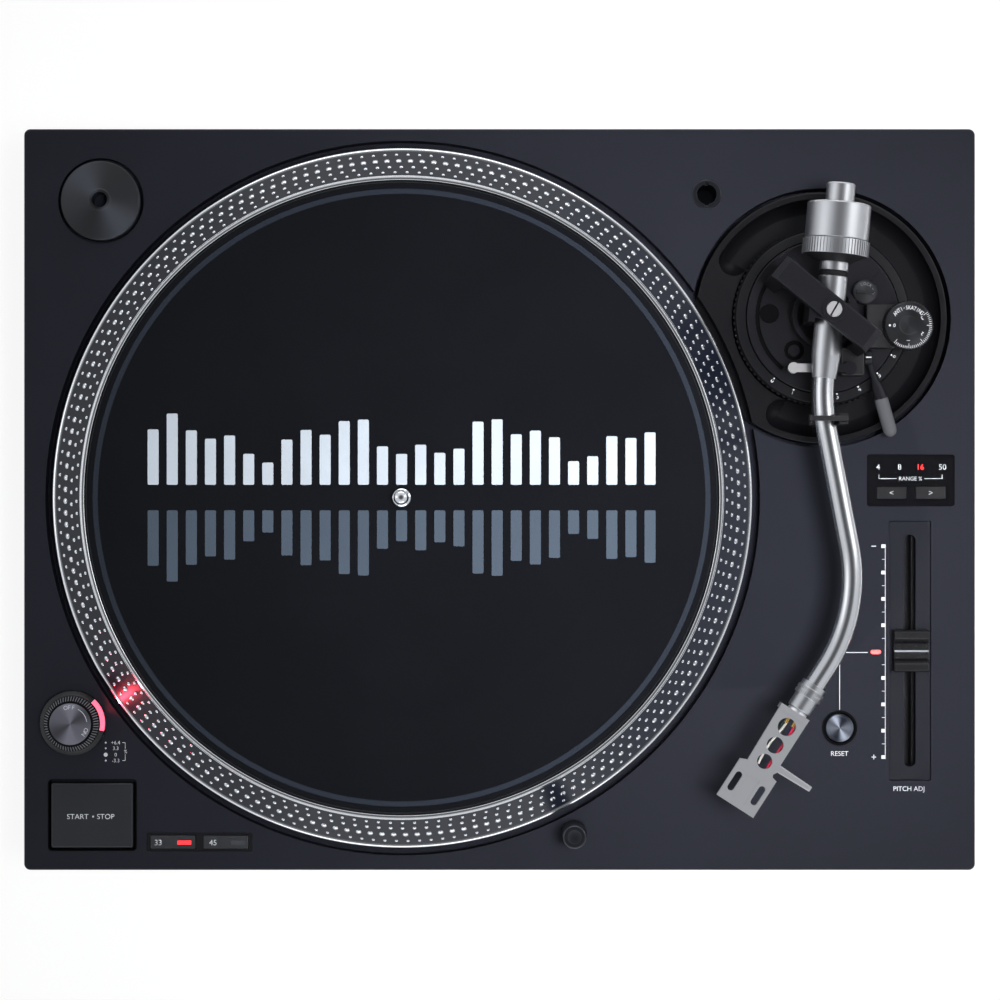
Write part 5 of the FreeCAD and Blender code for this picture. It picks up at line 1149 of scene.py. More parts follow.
@dataclass
class Platter:
    """The platter with its strobe dots, and the slipmat on it."""

    shop: Workshop
    outer: float = 166.0
    band_top: float = 107.0
    band_low: float = 97.0
    rim_out: float = 151.6
    lip: float = 1.6
    hole_r: float = 4.5
    mat_r: float = 148.6
    mat_low: float = 105.3
    mat_high: float = 108.3
    rows: tuple = ((162.6, 186, 1.6, 1.8), (159.4, 180, 2.7, 3.0), (156.2, 174, 1.9, 2.1), (153.5, 169, 1.6, 1.8))
    bars: int = 27
    bar_pitch: float = 9.0
    bar_w: float = 5.2
    bar_gap: float = 6.0
    bar_low: float = 7.0
    bar_tall: float = 27.0

    def build(self) -> None:
        """Make the platter's pieces."""
        self.make_body()
        self.make_dots()
        self.make_mat()
        self.shop.turned("spindle_turned", [
            (0, 47), (4, 47), (5, 48), (5, 91), (9.6, 91), (9.6, 99), (5.8, 99), (5.8, 105), (4.2, 105),
            (4.2, 108.3), (3.6, 108.7), (3.6, 117.1), (3.5, 117.6), (3.24, 118.5), (2.8, 119.1), (2.2, 119.5),
            (1.2, 119.9), (0, 120),
        ], upright(PLATTER_AT), "platter", "steel", [Finish.CHROME], ["spindle"], 0.0)
        self.shop.dress(Finish.RUBBER, "platter_damper")
        self.shop.dress(Finish.CAST, "rotor_magnet")

    def make_body(self) -> None:
        """The casting with its band and polished rims."""
        def number(radius: float, level: float) -> int:
            """1 on the bright rims, 2 on the strobe band, 0 elsewhere."""
            if 152.0 < radius < 164.4 and level > 96.9:
                return 2
            return 1 if level > 94.2 and radius > 149.1 else 0

        self.shop.turned("platter_casting", [
            (5.8, 105), (5.8, 99), (52, 99), (52, 97), (56, 97), (56, 99), (150, 99), (160, 95), (160, 85),
            (165, 85), (165, 93), (165.8, 93.9), (166, 94.5), (166, 96.4), (165.6, 96.85), (165.1, 97),
            (164.4, 97.0), (152.0, 106.2), (151.7, 106.6), (151.4, 106.95), (150.9, 107.1), (150.2, 107.1),
            (149.8, 106.95), (149.5, 106.6), (149.2, 105),
        ], upright(PLATTER_AT), "platter", "platter", [Finish.CAST, Finish.POLISHED, Finish.BAND], ["platter"],
            0.0, 256, number)

    def make_dots(self) -> None:
        """Four rows of polished strobe dots on the band."""
        slope = math.atan2(self.band_top - self.band_low, self.outer - self.lip - self.rim_out)
        for i, (radius, count, wide, long) in enumerate(self.rows):
            name = f"strobe_row_{i + 1}"
            level = self.band_low + (self.outer - self.lip - radius) * math.tan(slope)
            mesh = self.shop.dots.mesh(
                name, upright(PLATTER_AT), Finish.CHROME, count, radius, level, (wide, long, 1.1), 0.01 * i, slope)
            piece(name, mesh, "platter", [Finish.CHROME])

    def make_mat(self) -> None:
        """The felt slipmat, printed with a plain ring and two rows of bars."""
        low, high = self.mat_low, self.mat_high
        profile = [
            (self.hole_r, low), (60, low), (self.mat_r - 0.4, low), (self.mat_r, low + 0.6),
            (self.mat_r, high - 0.9), (self.mat_r - 0.3, high - 0.3), (self.mat_r - 1.0, high), (100, high),
            (50, high), (self.hole_r + 0.6, high), (self.hole_r + 0.1, high - 0.3), (self.hole_r, high - 0.8),
        ]
        mat = self.shop.add(
            "slipmat_felt", lathe(profile, 192), "slipmat", "felt", [Finish.MAT], ["slipmat"], upright(PLATTER_AT))
        side = 2 * self.mat_r * MM
        area = math.pi * (self.mat_r ** 2 - self.hole_r ** 2) * MM ** 2
        bars = [self.make_bars("upper", 1, Finish.BAR_LIGHT), self.make_bars("lower", -1, Finish.BAR_DARK)]

    def make_bars(self, name: str, side: int, finish: Finish) -> Piece:
        """A row of plain upright bars, printed above or below the spindle.

        Args:
            name: Which row.
            side: 1 for above, -1 for below.
            finish: The print's colour.

        Returns:
            The piece.
        """
        marks = []
        for i in range(self.bars):
            x = (i - (self.bars - 1) / 2) * self.bar_pitch
            wave = 0.55 + 0.28 * math.sin(i * 0.74 + 0.6) + 0.17 * math.sin(i * 1.9)
            tall = self.bar_low + self.bar_tall * wave
            outline = rounded(self.bar_w, tall, 0.6, (x, side * (self.bar_gap + tall / 2)), 2)
            marks.append(prism(outline, self.mat_high - 0.02, self.mat_high + 0.05))
        return self.shop.add(
            f"slipmat_bars_{name}", merged(marks), "slipmat", "felt", [finish], placed=upright(PLATTER_AT))


@dataclass
class Controls:
    """Buttons, panels, knobs, lamps and what is printed beside them."""

    shop: Workshop
    start_at: Point2 = (-193.9, -150.3)
    start_size: Point2 = (38.9, 30.7)
    start_rise: float = 1.2
    speed_rise: float = 0.7
    speed_py: float = 843.7
    reset_at: Point2 = (161.9, -108.8)
    knob_at: Point2 = (-202.6, -106.2)
    knob_top: float = 105.9
    fader_at: Point2 = (195.5, -72.0)
    fader_top: float = 99.7
    range_rise: float = 0.4
    range_mark_y: float = 3.2
    range_key_rise: float = 0.7

    def build(self) -> None:
        """Make every control."""
        self.make_start()
        self.make_reset()
        self.make_speed()
        self.make_strobe()
        self.make_strobe_legend()
        self.make_pitch()
        self.make_range()

    def make_start(self) -> None:
        """The start and stop key in its pocket, with near-black painted shade in the gap round it."""
        shop, ink = self.shop, self.shop.ink
        shop.ease("start_stop_button", "start_stop_button", "grey_button", Finish.START, 0.35)
        width, depth = self.start_size
        outer = rounded(width + 3.56, depth + 3.56, 1.98, self.start_at)
        inner = rounded(width + 2.4, depth + 2.4, 1.4, self.start_at)
        # A near-black frame down the gap round the key is painted shade.
        gap_shade = frame_prism(outer, inner, 84.05, 91.7)
        shop.add("start_button_gap_shade", gap_shade, "chassis", "black_plastic", [Finish.WELL])
        top = DECK_Z + self.start_rise
        x, y = photo(93.0, 817.5)
        shop.printed("start_button_words", [
            ink.flat("START", 2.5, (x - 6.4, y), top, wide=1.02),
            ink.flat("STOP", 2.5, (x + 6.9, y), top, wide=1.02),
            ink.dot(0.9, 0.44, (x + 0.9, y), top),
        ], "start_stop_button", "grey_button")

    def make_reset(self) -> None:
        """The reset button with its raised edge, and a near-black ring of painted shade in the gap round it."""
        shop, ink = self.shop, self.shop.ink
        shop.turned("reset_button_turned", [
            (0, 79), (4, 79), (4, 86.5), (6.6, 86.5), (6.6, 92.9), (6.3, 93.2), (5.7, 93.2), (5.5, 92.95),
            (0, 92.8),
        ], upright(self.reset_at), "reset_button", "bright_metal", [Finish.RESET], ["reset_button"], 0.15, 72)
        # A near-black ring down the gap round the button is painted shade.
        shop.turned("reset_ring", [
            (8.38, 84.05), (8.38, 92.1), (7.2, 92.1), (7.0, 91.6), (7.0, 84.05),
        ], upright(self.reset_at), "chassis", "black_plastic", [Finish.WELL], ease=0.0, steps=72)
        x, y = photo(838.5, 653.0)
        shop.printed("reset_words", [
            ink.flat("RESET", 2.3, photo(838.5, 754.5), DECK_Z),
            ink.line((x, self.reset_at[1] + 8.6), (x, y), 0.3, DECK_Z),
            ink.line((x - 0.15, y), (photo(866.5, 0)[0], y), 0.3, DECK_Z),
        ], "chassis", "deck")

    def make_speed(self) -> None:
        """The two speed keys in their bezel, each with its lamp."""
        shop = self.shop
        shop.ease("speed_bezel", "chassis", "black_plastic", Finish.SMOOTH, 0.25)
        top = DECK_Z + self.speed_rise
        rows = (("33", 185.6, 159.5, Finish.RED_LAMP), ("45", 239.1, 214.0, Finish.DIM_LAMP))
        for name, lamp_px, figure_px, finish in rows:
            node = f"speed_button_{name}"
            shop.ease(node, node, "grey_button", Finish.KEY, 0.25)
            lamp = prism(rounded(6.6, 1.9, 0.2, photo(lamp_px, self.speed_py)), top, top + 0.12, 0.05)
            shop.add(f"speed_lamp_{name}", lamp, node, "grey_button", [finish])
            figure = shop.ink.flat(name, 2.7, photo(figure_px, self.speed_py), top)
            shop.printed(f"speed_figure_{name}", [figure], node, "grey_button")

    def make_strobe(self) -> None:
        """The strobe lamp's housing with its window, and the power knob on it."""
        shop, ink, at, top = self.shop, self.shop.ink, self.knob_at, self.knob_top
        shop.ease("strobe_housing", "chassis", "black_plastic", Finish.SMOOTH, 0.3)
        shop.dress(Finish.STROBE, "strobe_window")
        shop.turned("power_knob_turned", [
            (0, 95), (4, 95), (4, 100.3), (12.5, 100.3), (12.5, 101.5), (10.5, 105.4), (9.6, top), (0, 105.7),
        ], upright(at), "power_knob", "black_metal", [Finish.WELL, Finish.POWER], ["power_knob"], 0.25, 96,
            lambda radius, _level: int(radius < 10.0))
        shop.ribbed("power_knob_ribs", upright(at), "power_knob", "black_metal", Finish.RIB, 60, 11.6, 102.7,
                    (0.9, 0.42, 4.2), -math.radians(27))
        radius = 8.0
        marks = ink.arc("OFF", 2.0, at, top, radius, 92, 13) + ink.arc("ON", 2.0, at, top, radius, -28, 14)
        marks += ink.run([polar(at, radius, angle) for angle in range(62, 7, -9)], 0.26, top)
        shop.printed("power_knob_words", marks, "power_knob", "black_metal")

    def make_strobe_legend(self) -> None:
        """The four dots and figures that say what each strobe row stands for."""
        ink = self.shop.ink
        marks = []
        rows = ((743.5, "+6.4", 0.42), (749.2, "3.3", 0.42), (755.6, "0", 0.95), (761.5, "-3.3", 0.42))
        for py, text, dot in rows:
            marks.append(ink.dot(2 * dot, dot * 0.98, photo(107.1, py), DECK_Z))
            marks.append(ink.flat(text, 1.75, photo(117.0, py), DECK_Z))
        (x, top), (_, low) = photo(126.5, 743.5), photo(126.5, 761.5)
        for y, along in ((top, -3.0), (low, 3.0)):
            marks += ink.run([(x - 1.4, y), (x, y), (x, y + along)], 0.22, DECK_Z)
        marks.append(ink.flat("%", 1.7, (x + 0.2, (top + low) / 2), DECK_Z))
        self.shop.printed("strobe_legend", marks, "chassis", "deck")

    def make_pitch(self) -> None:
        """The pitch fader in its long panel, with the scale beside it."""
        shop, ink = self.shop, self.shop.ink
        shop.ease("pitch_panel", "chassis", "gloss_black", Finish.FADER, 0.2)
        shop.ease("pitch_knob", "pitch_knob", "black_plastic", Finish.SMOOTH, 0.35)
        line = prism(rounded(16.2, 0.9, 0.2, self.fader_at), self.fader_top - 2.02, self.fader_top - 1.9)
        shop.add("pitch_knob_line", line, "pitch_knob", "black_plastic", [Finish.GREY_INK])
        marks = [ink.line(photo(883.9, 544.3), photo(883.9, 760.0), 0.26, DECK_Z)]
        for i in range(17):
            x, y = photo(883.9, 546.3 + 13.23 * i)
            if i % 2:
                marks.append(ink.line((x - 1.6, y), (x, y), 0.26, DECK_Z))
            elif i != 8:
                marks.append(ink.dot(1.7, 0.1, (x - 1.0, y), DECK_Z, steps=1))
        marks.append(ink.flat("PITCH ADJ", 2.3, photo(907.5, 790.5), DECK_Z))
        for py, strokes in ((546.3, ((1, 0),)), (758.0, ((1, 0), (0, 1)))):
            x, y = photo(872.5, py)
            for dx, dy in strokes:
                ends = [(x + 1.1 * dx * side, y + 1.1 * dy * side) for side in (-1, 1)]
                marks += ink.run(ends, 0.4, DECK_Z)
        shop.printed("pitch_scale", marks, "chassis", "deck")
        lamp = prism(rounded(4.8, 1.9, 0.9, photo(874.5, 652.5)), DECK_Z, DECK_Z + 0.35, 0.15)
        shop.add("pitch_lamp", lamp, "chassis", "gloss_black", [Finish.RED_LAMP])

    def make_range(self) -> None:
        """The range panel with its figures and two keys."""
        shop, ink = self.shop, self.shop.ink
        shop.ease("range_panel", "chassis", "gloss_black", Finish.PANEL, 0.25)
        top = DECK_Z + self.range_rise
        figures = {"4": 876.7, "8": 898.1, "50": 940.9}
        marks = [ink.flat(text, 2.7, photo(px, 466.9), top) for text, px in figures.items()]
        (left, y), (right, _) = photo(877.5, 478.5), photo(940.5, 478.5)
        middle = (left + right) / 2
        for x, side in ((left, -1), (right, 1)):
            marks.append(ink.line((middle + side * 6.6, y), (x, y), 0.28, top))
            marks.append(ink.line((x, y - 0.14), (x, y + 2.0), 0.28, top))
        marks.append(ink.flat("RANGE %", 1.9, (middle, y), top))
        shop.printed("range_figures", marks, "chassis", "gloss_black")
        lit = ink.flat("16", 2.7, photo(919.3, 466.9), top)
        shop.printed("range_lit_figure", [lit], "chassis", "gloss_black", Finish.RED_INK)
        for name, x, text in (("left", 186.6, "<"), ("right", 205.2, ">")):
            node = f"range_button_{name}"
            shop.ease(node, node, "grey_button", Finish.PLASTIC, 0.2)
            mark = ink.flat(text, 2.7, (x, self.range_mark_y), top + self.range_key_rise)
            shop.printed(f"{node}_mark", [mark], node, "grey_button")


@dataclass
class ArmBase:
    """The arm's base, height ring, mount plate, bridge and what stands round them."""

    shop: Workshop
    skate_at: Point2 = (191.8, 81.3)
    skate_low: float = 110.8
    lock_at: Point2 = (172.5, 97.7)
    lock_top: float = 106.0
    lever_at: Point3 = (171.75, 66.6, 108.0)

    def build(self) -> None:
        """Make every piece of the arm's base."""
        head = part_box("arm_screws")[1][2] / MM
        for row in (
            ("arm_base_plate", "chassis", "black_metal", Finish.ARM_BASE, 0.25),
            # The mount plate's recess floors, below its top, are painted near black as shade.
            ("arm_mount_plate", "arm_mount", "black_metal", Finish.BLACK_METAL, 0.2, Finish.WELL,
             lambda at: at.z < MOUNT_Z - 0.4),
            ("gimbal_bridge", "arm_mount", "black_metal", Finish.BLACK_METAL, 0.4),
            # The top screw's slot is painted near black as shade; the lower screw gets a black finish.
            ("arm_screws", "arm_mount", "steel", Finish.LIFT, 0.12, Finish.BLACK_METAL,
             lambda at: at.z < MOUNT_Z or (at.z < head - 0.3 and (at.xy - Vector(ARM_AT)).length < 3.2)),
            ("arm_rest", "arm_mount", "black_plastic", Finish.PLASTIC, 0.3),
            ("arm_clip", "arm_clip", "black_plastic", Finish.PLASTIC, 0.25),
            ("lift_block", "arm_mount", "black_plastic", Finish.PLASTIC, 0.3),
            ("anti_skate_box", "arm_mount", "black_plastic", Finish.PLASTIC, 0.5),
            ("lock_knob", "lock_knob", "bright_metal", Finish.LOCK, 0.25),
            ("gimbal_ring", "gimbal", "black_metal", Finish.BLACK_METAL, 0.35),
            ("lift_bar", "lift_bar", "bright_metal", Finish.LIFT, 0.25, Finish.BLACK_METAL,
             lambda at: at.x > ARM_AT[0], ARM_AT[0]),
        ):
            self.shop.ease(*row)
        self.make_lever()
        self.make_ring()
        self.make_skate()
        self.make_lock()

    def make_lever(self) -> None:
        """The cueing lever: a metal neck with a rubber grip."""
        shop = self.shop
        hub_x, y, z = self.lever_at
        middle = hub_x + 1.7
        steps = ((0, 0, 0), (1.6, 5, 1.4), (3.8, 10.5, 3.8), (5.0, 13.5, 5.0), (7.1, 19.5, 6.0))
        neck = [Vector((middle + dx, y - dy, z - dz)) for dx, dy, dz in steps]
        parts = [swept(neck, [1.5, 1.4, 1.6, 2.8, 3.2], 24)]
        for profile, x, sides in (
            (eased([(0, 0), (3.6, 0), (3.6, 3.4), (0, 3.4)], 0.4), hub_x, 40),
            ([(0, 0), (1.5, 0), (1.5, 3.6), (0, 3.6)], hub_x - 3.3, 24),
        ):
            parts.append(lathe(profile, sides))
            parts[-1].transform(axial(Vector((x, y, z)), Vector((1, 0, 0))))
        shop.add("lift_lever_arm", merged(parts), "lift_lever", "chrome", [Finish.BLACK_METAL], ["lift_lever"])
        along = Vector((4.25, -14.8, 0))
        end = [(0, -3.3), (1.3, -3.0), (2.5, -2.1), (3.1, -0.8), (3.3, 0.8)]
        shop.turned("lift_lever_grip", end + [(radius, along.length - level) for radius, level in end[::-1]],
                    axial(Vector((middle + 6.95, y - 19.1, z - 6.0)), along.normalized()), "lift_lever",
                    "black_rubber", [Finish.GREY_RUBBER], ease=0.0, steps=40)
        mark = shop.ink.line((hub_x + 0.4, y), (hub_x + 3.0, y), 0.42, z + 3.57)
        shop.printed("lift_lever_mark", [mark], "lift_lever", "chrome")

    def make_ring(self) -> None:
        """The height ring with its ribs and figures."""
        shop, ink = self.shop, self.shop.ink
        shop.turned("height_ring_turned", [
            (31, 85), (41.7, 85), (41.7, 96.9), (40.8, 98.6), (36.5, 99.5), (36.5, 90), (31, 90),
        ], upright(ARM_AT), "height_ring", "black_metal", [Finish.ARM_BASE], ["height_ring"], 0.3, 180)
        shop.ribbed("height_ring_ribs", upright(ARM_AT), "height_ring", "black_metal", Finish.ARM_BASE, 90, 41.65,
                    91.2, (1.1, 1.45, 11.6))
        marks = []
        for i, angle in enumerate((-128.3, -111.8, -96.0, -79.6, -63.2, -46.0, -28.9)):
            marks.append(ink.flat(str(i), 2.2, polar(ARM_AT, 38.4, angle), 99.1, angle + 90))
            marks.append(ink.dot(0.8, 0.38, polar(ARM_AT, 37.1, angle), 99.3, 0.14))
        shop.printed("height_ring_figures", marks, "height_ring", "black_metal")

    def make_skate(self) -> None:
        """The anti-skate knob with its scale, and the pointer beside it."""
        shop, ink, at, low = self.shop, self.shop.ink, self.skate_at, self.skate_low
        top = low + 5.0
        shop.turned("anti_skate_knob_turned", [
            (0, 105.5), (2.5, 105.5), (2.5, low), (11.3, low), (11.3, low + 4.6), (10.9, top), (4.5, top),
            (4.0, low + 4.7), (0, low + 4.2),
        ], upright(at), "anti_skate_knob", "black_metal", [Finish.SKATE], ["anti_skate_knob"], 0.2, 96)
        shop.ribbed("anti_skate_ribs", upright(at), "anti_skate_knob", "black_metal", Finish.BLACK_METAL, 50, 11.2,
                    low + 2.0, (1.1, 0.85, 3.4))
        marks = [ink.dot(1.0, 0.49, polar(at, 8.9, 180), top)]
        for i in range(-26, 8):
            tick = 2.4 if i in (-26, -18, -10, 0, 7) else 1.2
            marks.append(ink.line(polar(at, 10.8 - tick, i * 5), polar(at, 10.8, i * 5), 0.22, top))
        for text, radius, angle in (("0", 6.8, 180), ("1", 7.1, -92), ("2", 7.4, -32), ("3", 7.1, 28)):
            marks.append(ink.flat(text, 1.7, polar(at, radius, angle), top, angle - 180))
        marks += ink.arc("ANTI-SKATING", 1.9, at, top, 8.4, 92, 8.9, 0.78)
        shop.printed("anti_skate_scale", marks, "anti_skate_knob", "black_metal")
        tip, back = [photo(px, 0)[0] * 0.987 for px in (882.2, 877.8)]
        ends = [(x, at[1] + dy) for x, dy in ((tip, 1.1), (back, 2.5), (back, -0.3), (tip, 1.1))]
        pointer = ink.run(ends, 0.3, low - 0.3)
        shop.printed("anti_skate_pointer", pointer, "arm_mount", "black_plastic", Finish.RUBBER)

    def make_lock(self) -> None:
        """The word and the arrow on the lock knob."""
        ink, at, top = self.shop.ink, self.lock_at, self.lock_top
        points = [polar(at, 3.9, angle) for angle in (30, 18, 6, -6, -18)]
        marks = ink.arc("LOCK", 1.4, at, top, 3.9, 82, 22, 0.9) + ink.run(points, 0.24, top)
        x, y = points[-1]
        marks += [ink.line((x + side, y + 1.1), (x, y), 0.24, top) for side in (-0.8, 0.8)]
        self.shop.printed("lock_knob_words", marks, "lock_knob", "bright_metal", Finish.GREY_INK)


@dataclass
class ToneArm:
    """The arm with its counterweight, dial, nut and headshell."""

    shop: Workshop
    tube_from: float = 22.0
    bend_1_at: float = 42.9
    bend_1_run: float = 13.0
    bend_2_run: float = 31.0
    tube_r: float = 4.95
    pin_spread: float = 1.8
    lead_r: float = 0.6

    def build(self) -> None:
        """Make every piece of the arm."""
        self.make_housing()
        self.make_tube()
        self.make_rear()
        self.make_nut()
        self.make_shell()

    def make_housing(self) -> None:
        """The turned housing with its cone."""
        self.shop.turned("arm_housing_turned", [
            (0, -16.8), (6.3, -16.8), (6.75, -16.3), (6.75, 20.3), (5.6, 30.8), (4.97, 30.8),
            (4.97, 22.0), (0, 22.0),
        ], axial(PIVOT, ARM_FRONT), "arm", "bright_metal", [Finish.SATIN], ["arm_housing"], 0.2, 72)

    def corner(self, start: Vector, corner: Vector, end: Vector, run: float, steps: int) -> list[Vector]:
        """The points of the arc that rounds a corner of the tube's line.

        Args:
            start, corner, end: The line's points.
            run: The distance from the corner to where the arc starts.
            steps: How many steps the arc has.

        Returns:
            The arc's points.
        """
        into = (start - corner).normalized()
        out = (end - corner).normalized()
        centre = corner + (into + out).normalized() * (run / math.cos(into.angle(out) / 2))
        first = corner + into * run - centre
        last = corner + out * run - centre
        axis, angle = first.rotation_difference(last).to_axis_angle()
        return [centre + Matrix.Rotation(angle * i / steps, 3, axis) @ first for i in range(steps + 1)]

    def make_tube(self) -> None:
        """The S-shaped tube."""
        start = PIVOT + ARM_FRONT * self.tube_from
        bend_1 = PIVOT + ARM_FRONT * self.bend_1_at
        path = [
            start, *self.corner(start, bend_1, BEND_2, self.bend_1_run, 14),
            *self.corner(bend_1, BEND_2, TUBE_END, self.bend_2_run, 28), TUBE_END,
        ]
        tube = swept(path, [self.tube_r] * len(path), 48)
        self.shop.add("arm_tube_bent", tube, "arm", "bright_metal", [Finish.TUBE], ["arm_tube"])

    def make_rear(self) -> None:
        """The stub with its dark groove, the counterweight and its dial."""
        shop, placed = self.shop, axial(PIVOT, ARM_FRONT)
        shop.turned("rear_stub_turned", [
            (0, -59.9), (6.1, -59.9), (6.7, -59.3), (6.7, -22.8), (6.75, -22.7), (6.75, -19.2), (6.0, -19.1),
            (6.0, -16.8), (0, -16.8),
        ], placed, "arm", "bright_metal", [Finish.SATIN, Finish.RUBBER], ["rear_stub"], 0.15, 64,
            lambda _radius, level: int(level > -19.15))
        shop.turned("counterweight_turned", [
            (6.75, -50.4), (8.4, -50.4), (8.4, -38.9), (13.2, -38.9), (13.2, -50.4), (14.2, -50.4), (14.8, -49.8),
            (14.8, -34.0), (14.3, -33.5), (9.5, -33.5), (9.5, -29.0), (6.75, -29.0),
        ], placed, "counterweight", "chrome", [Finish.SATIN], ["counterweight"], 0.2, 96)
        shop.turned("weight_dial_turned", [
            (9.55, -33.4), (15.1, -33.4), (15.1, -26.2), (13.9, -26.2), (7.35, -23.1), (6.9, -23.1), (6.9, -28.9),
            (9.55, -28.9),
        ], placed, "weight_dial", "black_metal", [Finish.SATIN, Finish.PLASTIC], ["weight_dial"], 0.2, 96,
            lambda radius, level: int(level > -26.25 and radius > 6.9))
        shop.ribbed("weight_dial_ribs", placed, "weight_dial", "black_metal", Finish.SATIN, 60, 15.05, -29.8,
                    (0.85, 0.8, 6.8))

    def make_nut(self) -> None:
        """The locking nut with its two rings of ribs."""
        placed = axial(SHELL_REAR, SHELL_FRONT)
        self.shop.turned("locking_nut_turned", [
            (5.0, -15.2), (6.0, -15.2), (6.0, -12.8), (6.2, -12.8), (6.3, -12.6), (6.3, -8.5), (6.2, -8.3),
            (5.75, -8.3), (5.75, -1.8), (5.35, -1.4), (5.0, -1.4),
        ], placed, "locking_nut", "chrome", [Finish.SATIN], ["locking_nut"], 0.12)
        for name, level in (("rear", -11.7), ("front", -9.4)):
            self.shop.ribbed(f"locking_nut_ribs_{name}", placed, "locking_nut", "chrome", Finish.SATIN, 40, 6.2,
                             level, (0.75, 0.5, 1.7))

    def make_shell(self) -> None:
        """The headshell, its finger lift, its pins and its leads."""
        shop = self.shop
        shop.ease("headshell", "headshell", "bright_metal", Finish.SHELL, 0.22)
        shop.ease("finger_lift", "headshell", "bright_metal", Finish.SHELL, 0.3)
        pins = []
        for a, b, finish in (
            (-1, 1, Finish.LEAD_WHITE), (1, 1, Finish.LEAD_RED), (-1, -1, Finish.LEAD_GREEN),
            (1, -1, Finish.LEAD_BLUE),
        ):
            root = SHELL_REAR + SHELL_SIDE * (self.pin_spread * a) + Vector((0, 0, self.pin_spread * b))
            pins.append(lathe(eased([(0, -0.8), (0.7, -0.8), (0.7, 7.0), (0, 7.0)], 0.15), 20))
            pins[-1].transform(axial(root, SHELL_FRONT))
            path = []
            for t in (i / 14 for i in range(15)):
                sway = math.sin(t * 2.6) * 0.9 * a + math.sin(t * 5.0 + b) * 0.35
                drop = -math.sin(t * math.pi) * 0.9 * (1 if b > 0 else 1.3)
                path.append(root + SHELL_FRONT * (5.8 + 23.8 * t) + SHELL_SIDE * sway + Vector((0, 0, drop)))
            name = finish.name.lower().replace("lead_", "shell_lead_")
            shop.add(name, swept(path, [self.lead_r] * len(path), 14), "headshell", "brass", [finish])
        shop.add("shell_pins", merged(pins), "headshell", "brass", [Finish.GOLD], ["shell_wires"])


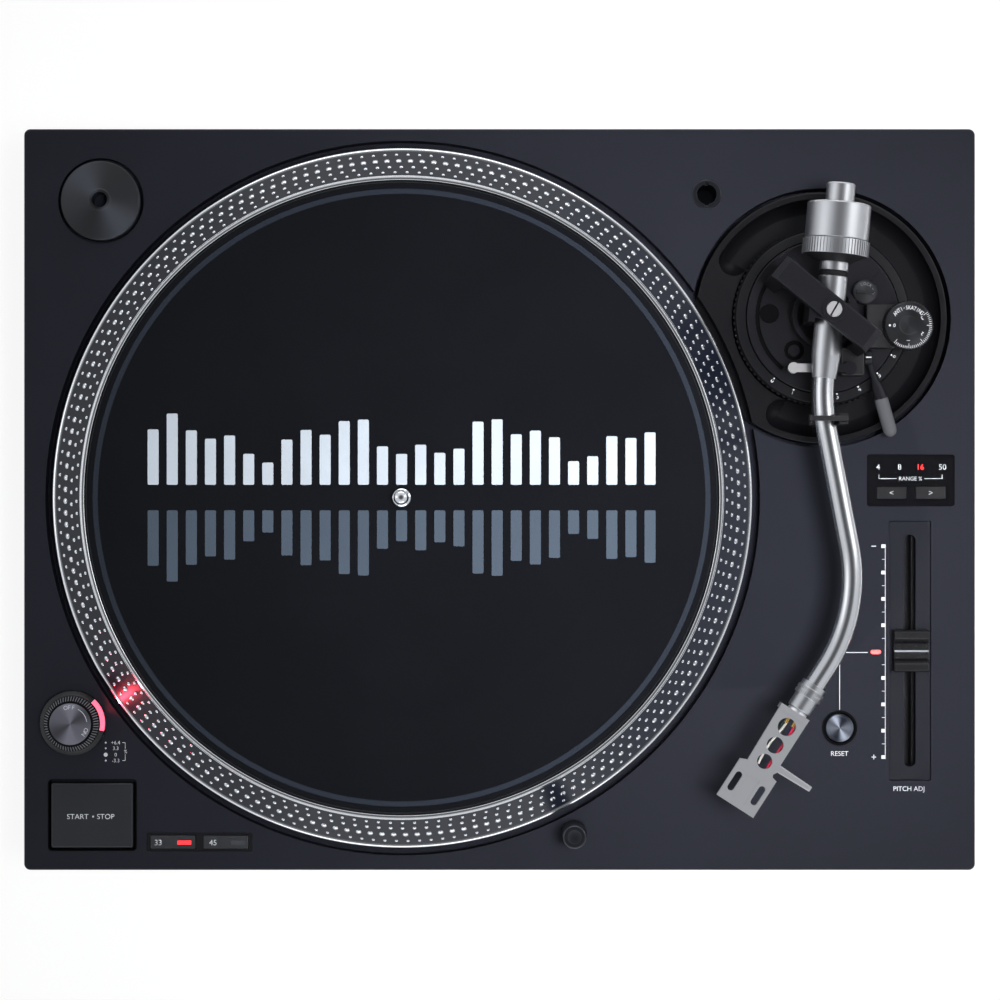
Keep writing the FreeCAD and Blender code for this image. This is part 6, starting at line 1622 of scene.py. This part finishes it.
@dataclass
class Studio:
    """The floor, the lamps and the camera."""

    distance: float = 1470.0
    principal: Point2 = (500.0, 540.0)
    scale: float = 0.4762
    sensor: float = 36.0
    floor_half: float = 6.0
    floor_white: float = 0.88
    gloss_gain: float = 0.6

    def build(self) -> None:
        """Set the stage."""
        self.make_floor()
        self.make_world()
        centre = (0.0, 0.0, 0.1)
        self.make_lamp("rear", (0.0, 2.3, 1.15), centre, (2.6, 1.0), 16.0)
        self.make_lamp("front", (0.2, -2.2, 1.1), centre, (2.4, 0.9), 12.0)
        self.make_lamp("right", (2.1, 0.7, 1.7), centre, (1.0, 1.6), 10.0)
        self.make_lamp("left", (-2.1, 0.2, 1.5), centre, (0.9, 1.4), 4.0)
        self.make_lamp("key", (0.3, -0.05, 1.5), (0.115, 0.0, 0.09), (0.4, 0.4), 2.6, 30, mirrored=False)
        self.make_lamp("strobe", (-0.1885, -0.1005, 0.1), (-0.1745, -0.09, 0.1), (0.003, 0.012), 0.012, 150,
                       (1.0, 0.05, 0.08))
        self.make_camera()

    def add(self, made: Piece) -> Piece:
        """Put an object of the stage in the scene and give it back."""
        bpy.context.scene.collection.objects.link(made)
        return made

    def make_floor(self) -> None:
        """A wide pale floor, white to the camera's own rays."""
        graph = Shader("floor_white")
        pale = graph.node("ShaderNodeBsdfDiffuse", {"Color": (0.86, 0.86, 0.86, 1)})
        white = graph.node("ShaderNodeEmission", {"Color": (1, 1, 1, 1), "Strength": 1.0})
        seen = graph.out(graph.node("ShaderNodeLightPath"), "Is Camera Ray") * self.floor_white
        both = graph.node("ShaderNodeMixShader", {0: seen, 1: pale, 2: white})
        graph.node("ShaderNodeOutputMaterial", {"Surface": both})
        work = bmesh.new()
        bmesh.ops.create_grid(work, x_segments=1, y_segments=1, size=self.floor_half)
        mesh = bpy.data.meshes.new("floor")
        work.to_mesh(mesh)
        work.free()
        mesh.materials.append(graph.material)
        self.add(bpy.data.objects.new("floor", mesh))

    def make_world(self) -> None:
        """A pale sky, darker overhead, stronger in glossy surfaces and white to the camera."""
        world = bpy.data.worlds.new("studio")
        bpy.context.scene.world = world
        world.use_nodes = True
        graph = NodeGraph(world.node_tree)
        view = graph.node("ShaderNodeTexCoord").outputs["Generated"]
        level = graph.node("ShaderNodeSeparateXYZ", {0: view}).outputs[2]
        ceiling = graph.node("ShaderNodeMapRange", {
            "Value": level, "From Min": 0.99, "From Max": 0.82, "To Min": 0.06, "To Max": 0.5,
        }, interpolation_type="SMOOTHSTEP")
        rays = graph.node("ShaderNodeLightPath")
        mirrored = graph.out(rays, "Is Glossy Ray") * self.gloss_gain + 1.0
        sky = graph.node("ShaderNodeBackground", {
            "Color": (0.93, 0.96, 1.0, 1), "Strength": graph.out(ceiling) * mirrored})
        white = graph.node("ShaderNodeBackground", {"Color": (1, 1, 1, 1), "Strength": 1.0})
        both = graph.node("ShaderNodeMixShader", {0: rays.outputs["Is Camera Ray"], 1: sky, 2: white})
        graph.node("ShaderNodeOutputWorld", {"Surface": both})

    def make_lamp(self, name: str, at: Point3, aim: Point3, size: Point2, power: float,
                  spread: float = 180.0, color: Point3 = (1.0, 1.0, 1.0), mirrored: bool = True) -> None:
        """A soft box.

        Args:
            name: The lamp's name.
            at, aim: Its place and the place that it faces, in metres.
            size: Its width and height, in metres.
            power: Its power in watts.
            spread: The angle of its beam, in degrees.
            color: Its colour.
            mirrored: Whether glossy surfaces mirror it.
        """
        data = bpy.data.lights.new(f"lamp_{name}", "AREA")
        data.shape = "RECTANGLE"
        data.size, data.size_y = size
        data.energy = power
        data.spread = math.radians(spread)
        data.color = color
        lamp = self.add(bpy.data.objects.new(f"lamp_{name}", data))
        lamp.location = at
        lamp.visible_glossy = mirrored
        lamp.rotation_euler = (Vector(aim) - Vector(at)).to_track_quat("-Z", "Y").to_euler()

    def make_camera(self) -> None:
        """A camera straight above, with the photograph's frame."""
        data = bpy.data.cameras.new("camera")
        data.sensor_width = self.sensor
        data.sensor_fit = "HORIZONTAL"
        data.lens = self.sensor * self.distance / (PHOTO_SIDE * self.scale)
        data.shift_y = self.principal[1] / PHOTO_SIDE - 0.5
        data.clip_end = 20.0
        camera = self.add(bpy.data.objects.new("camera", data))
        x = (self.principal[0] - PHOTO_MIDDLE) * self.scale
        y = (PHOTO_MIDDLE - self.principal[1]) * self.scale
        camera.location = (x * MM, y * MM, (DECK_Z + self.distance) * MM)
        bpy.context.scene.camera = camera


def main() -> None:
    """Build every sub-assembly in order."""
    logging.basicConfig(level=logging.INFO, format="%(name)s: %(message)s")
    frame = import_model()
    bpy.context.scene.view_settings.view_transform = "Standard"
    Studio().build()
    shop = Workshop(frame["nodes"], RingPattern(Bead.DOT), RingPattern(Bead.BAR))
    for part in (Plinth(shop), Platter(shop), Controls(shop), ArmBase(shop), ToneArm(shop)):
        log.info("building the %s", type(part).__name__)
        part.build()


if __name__ == "__main__":
    main()
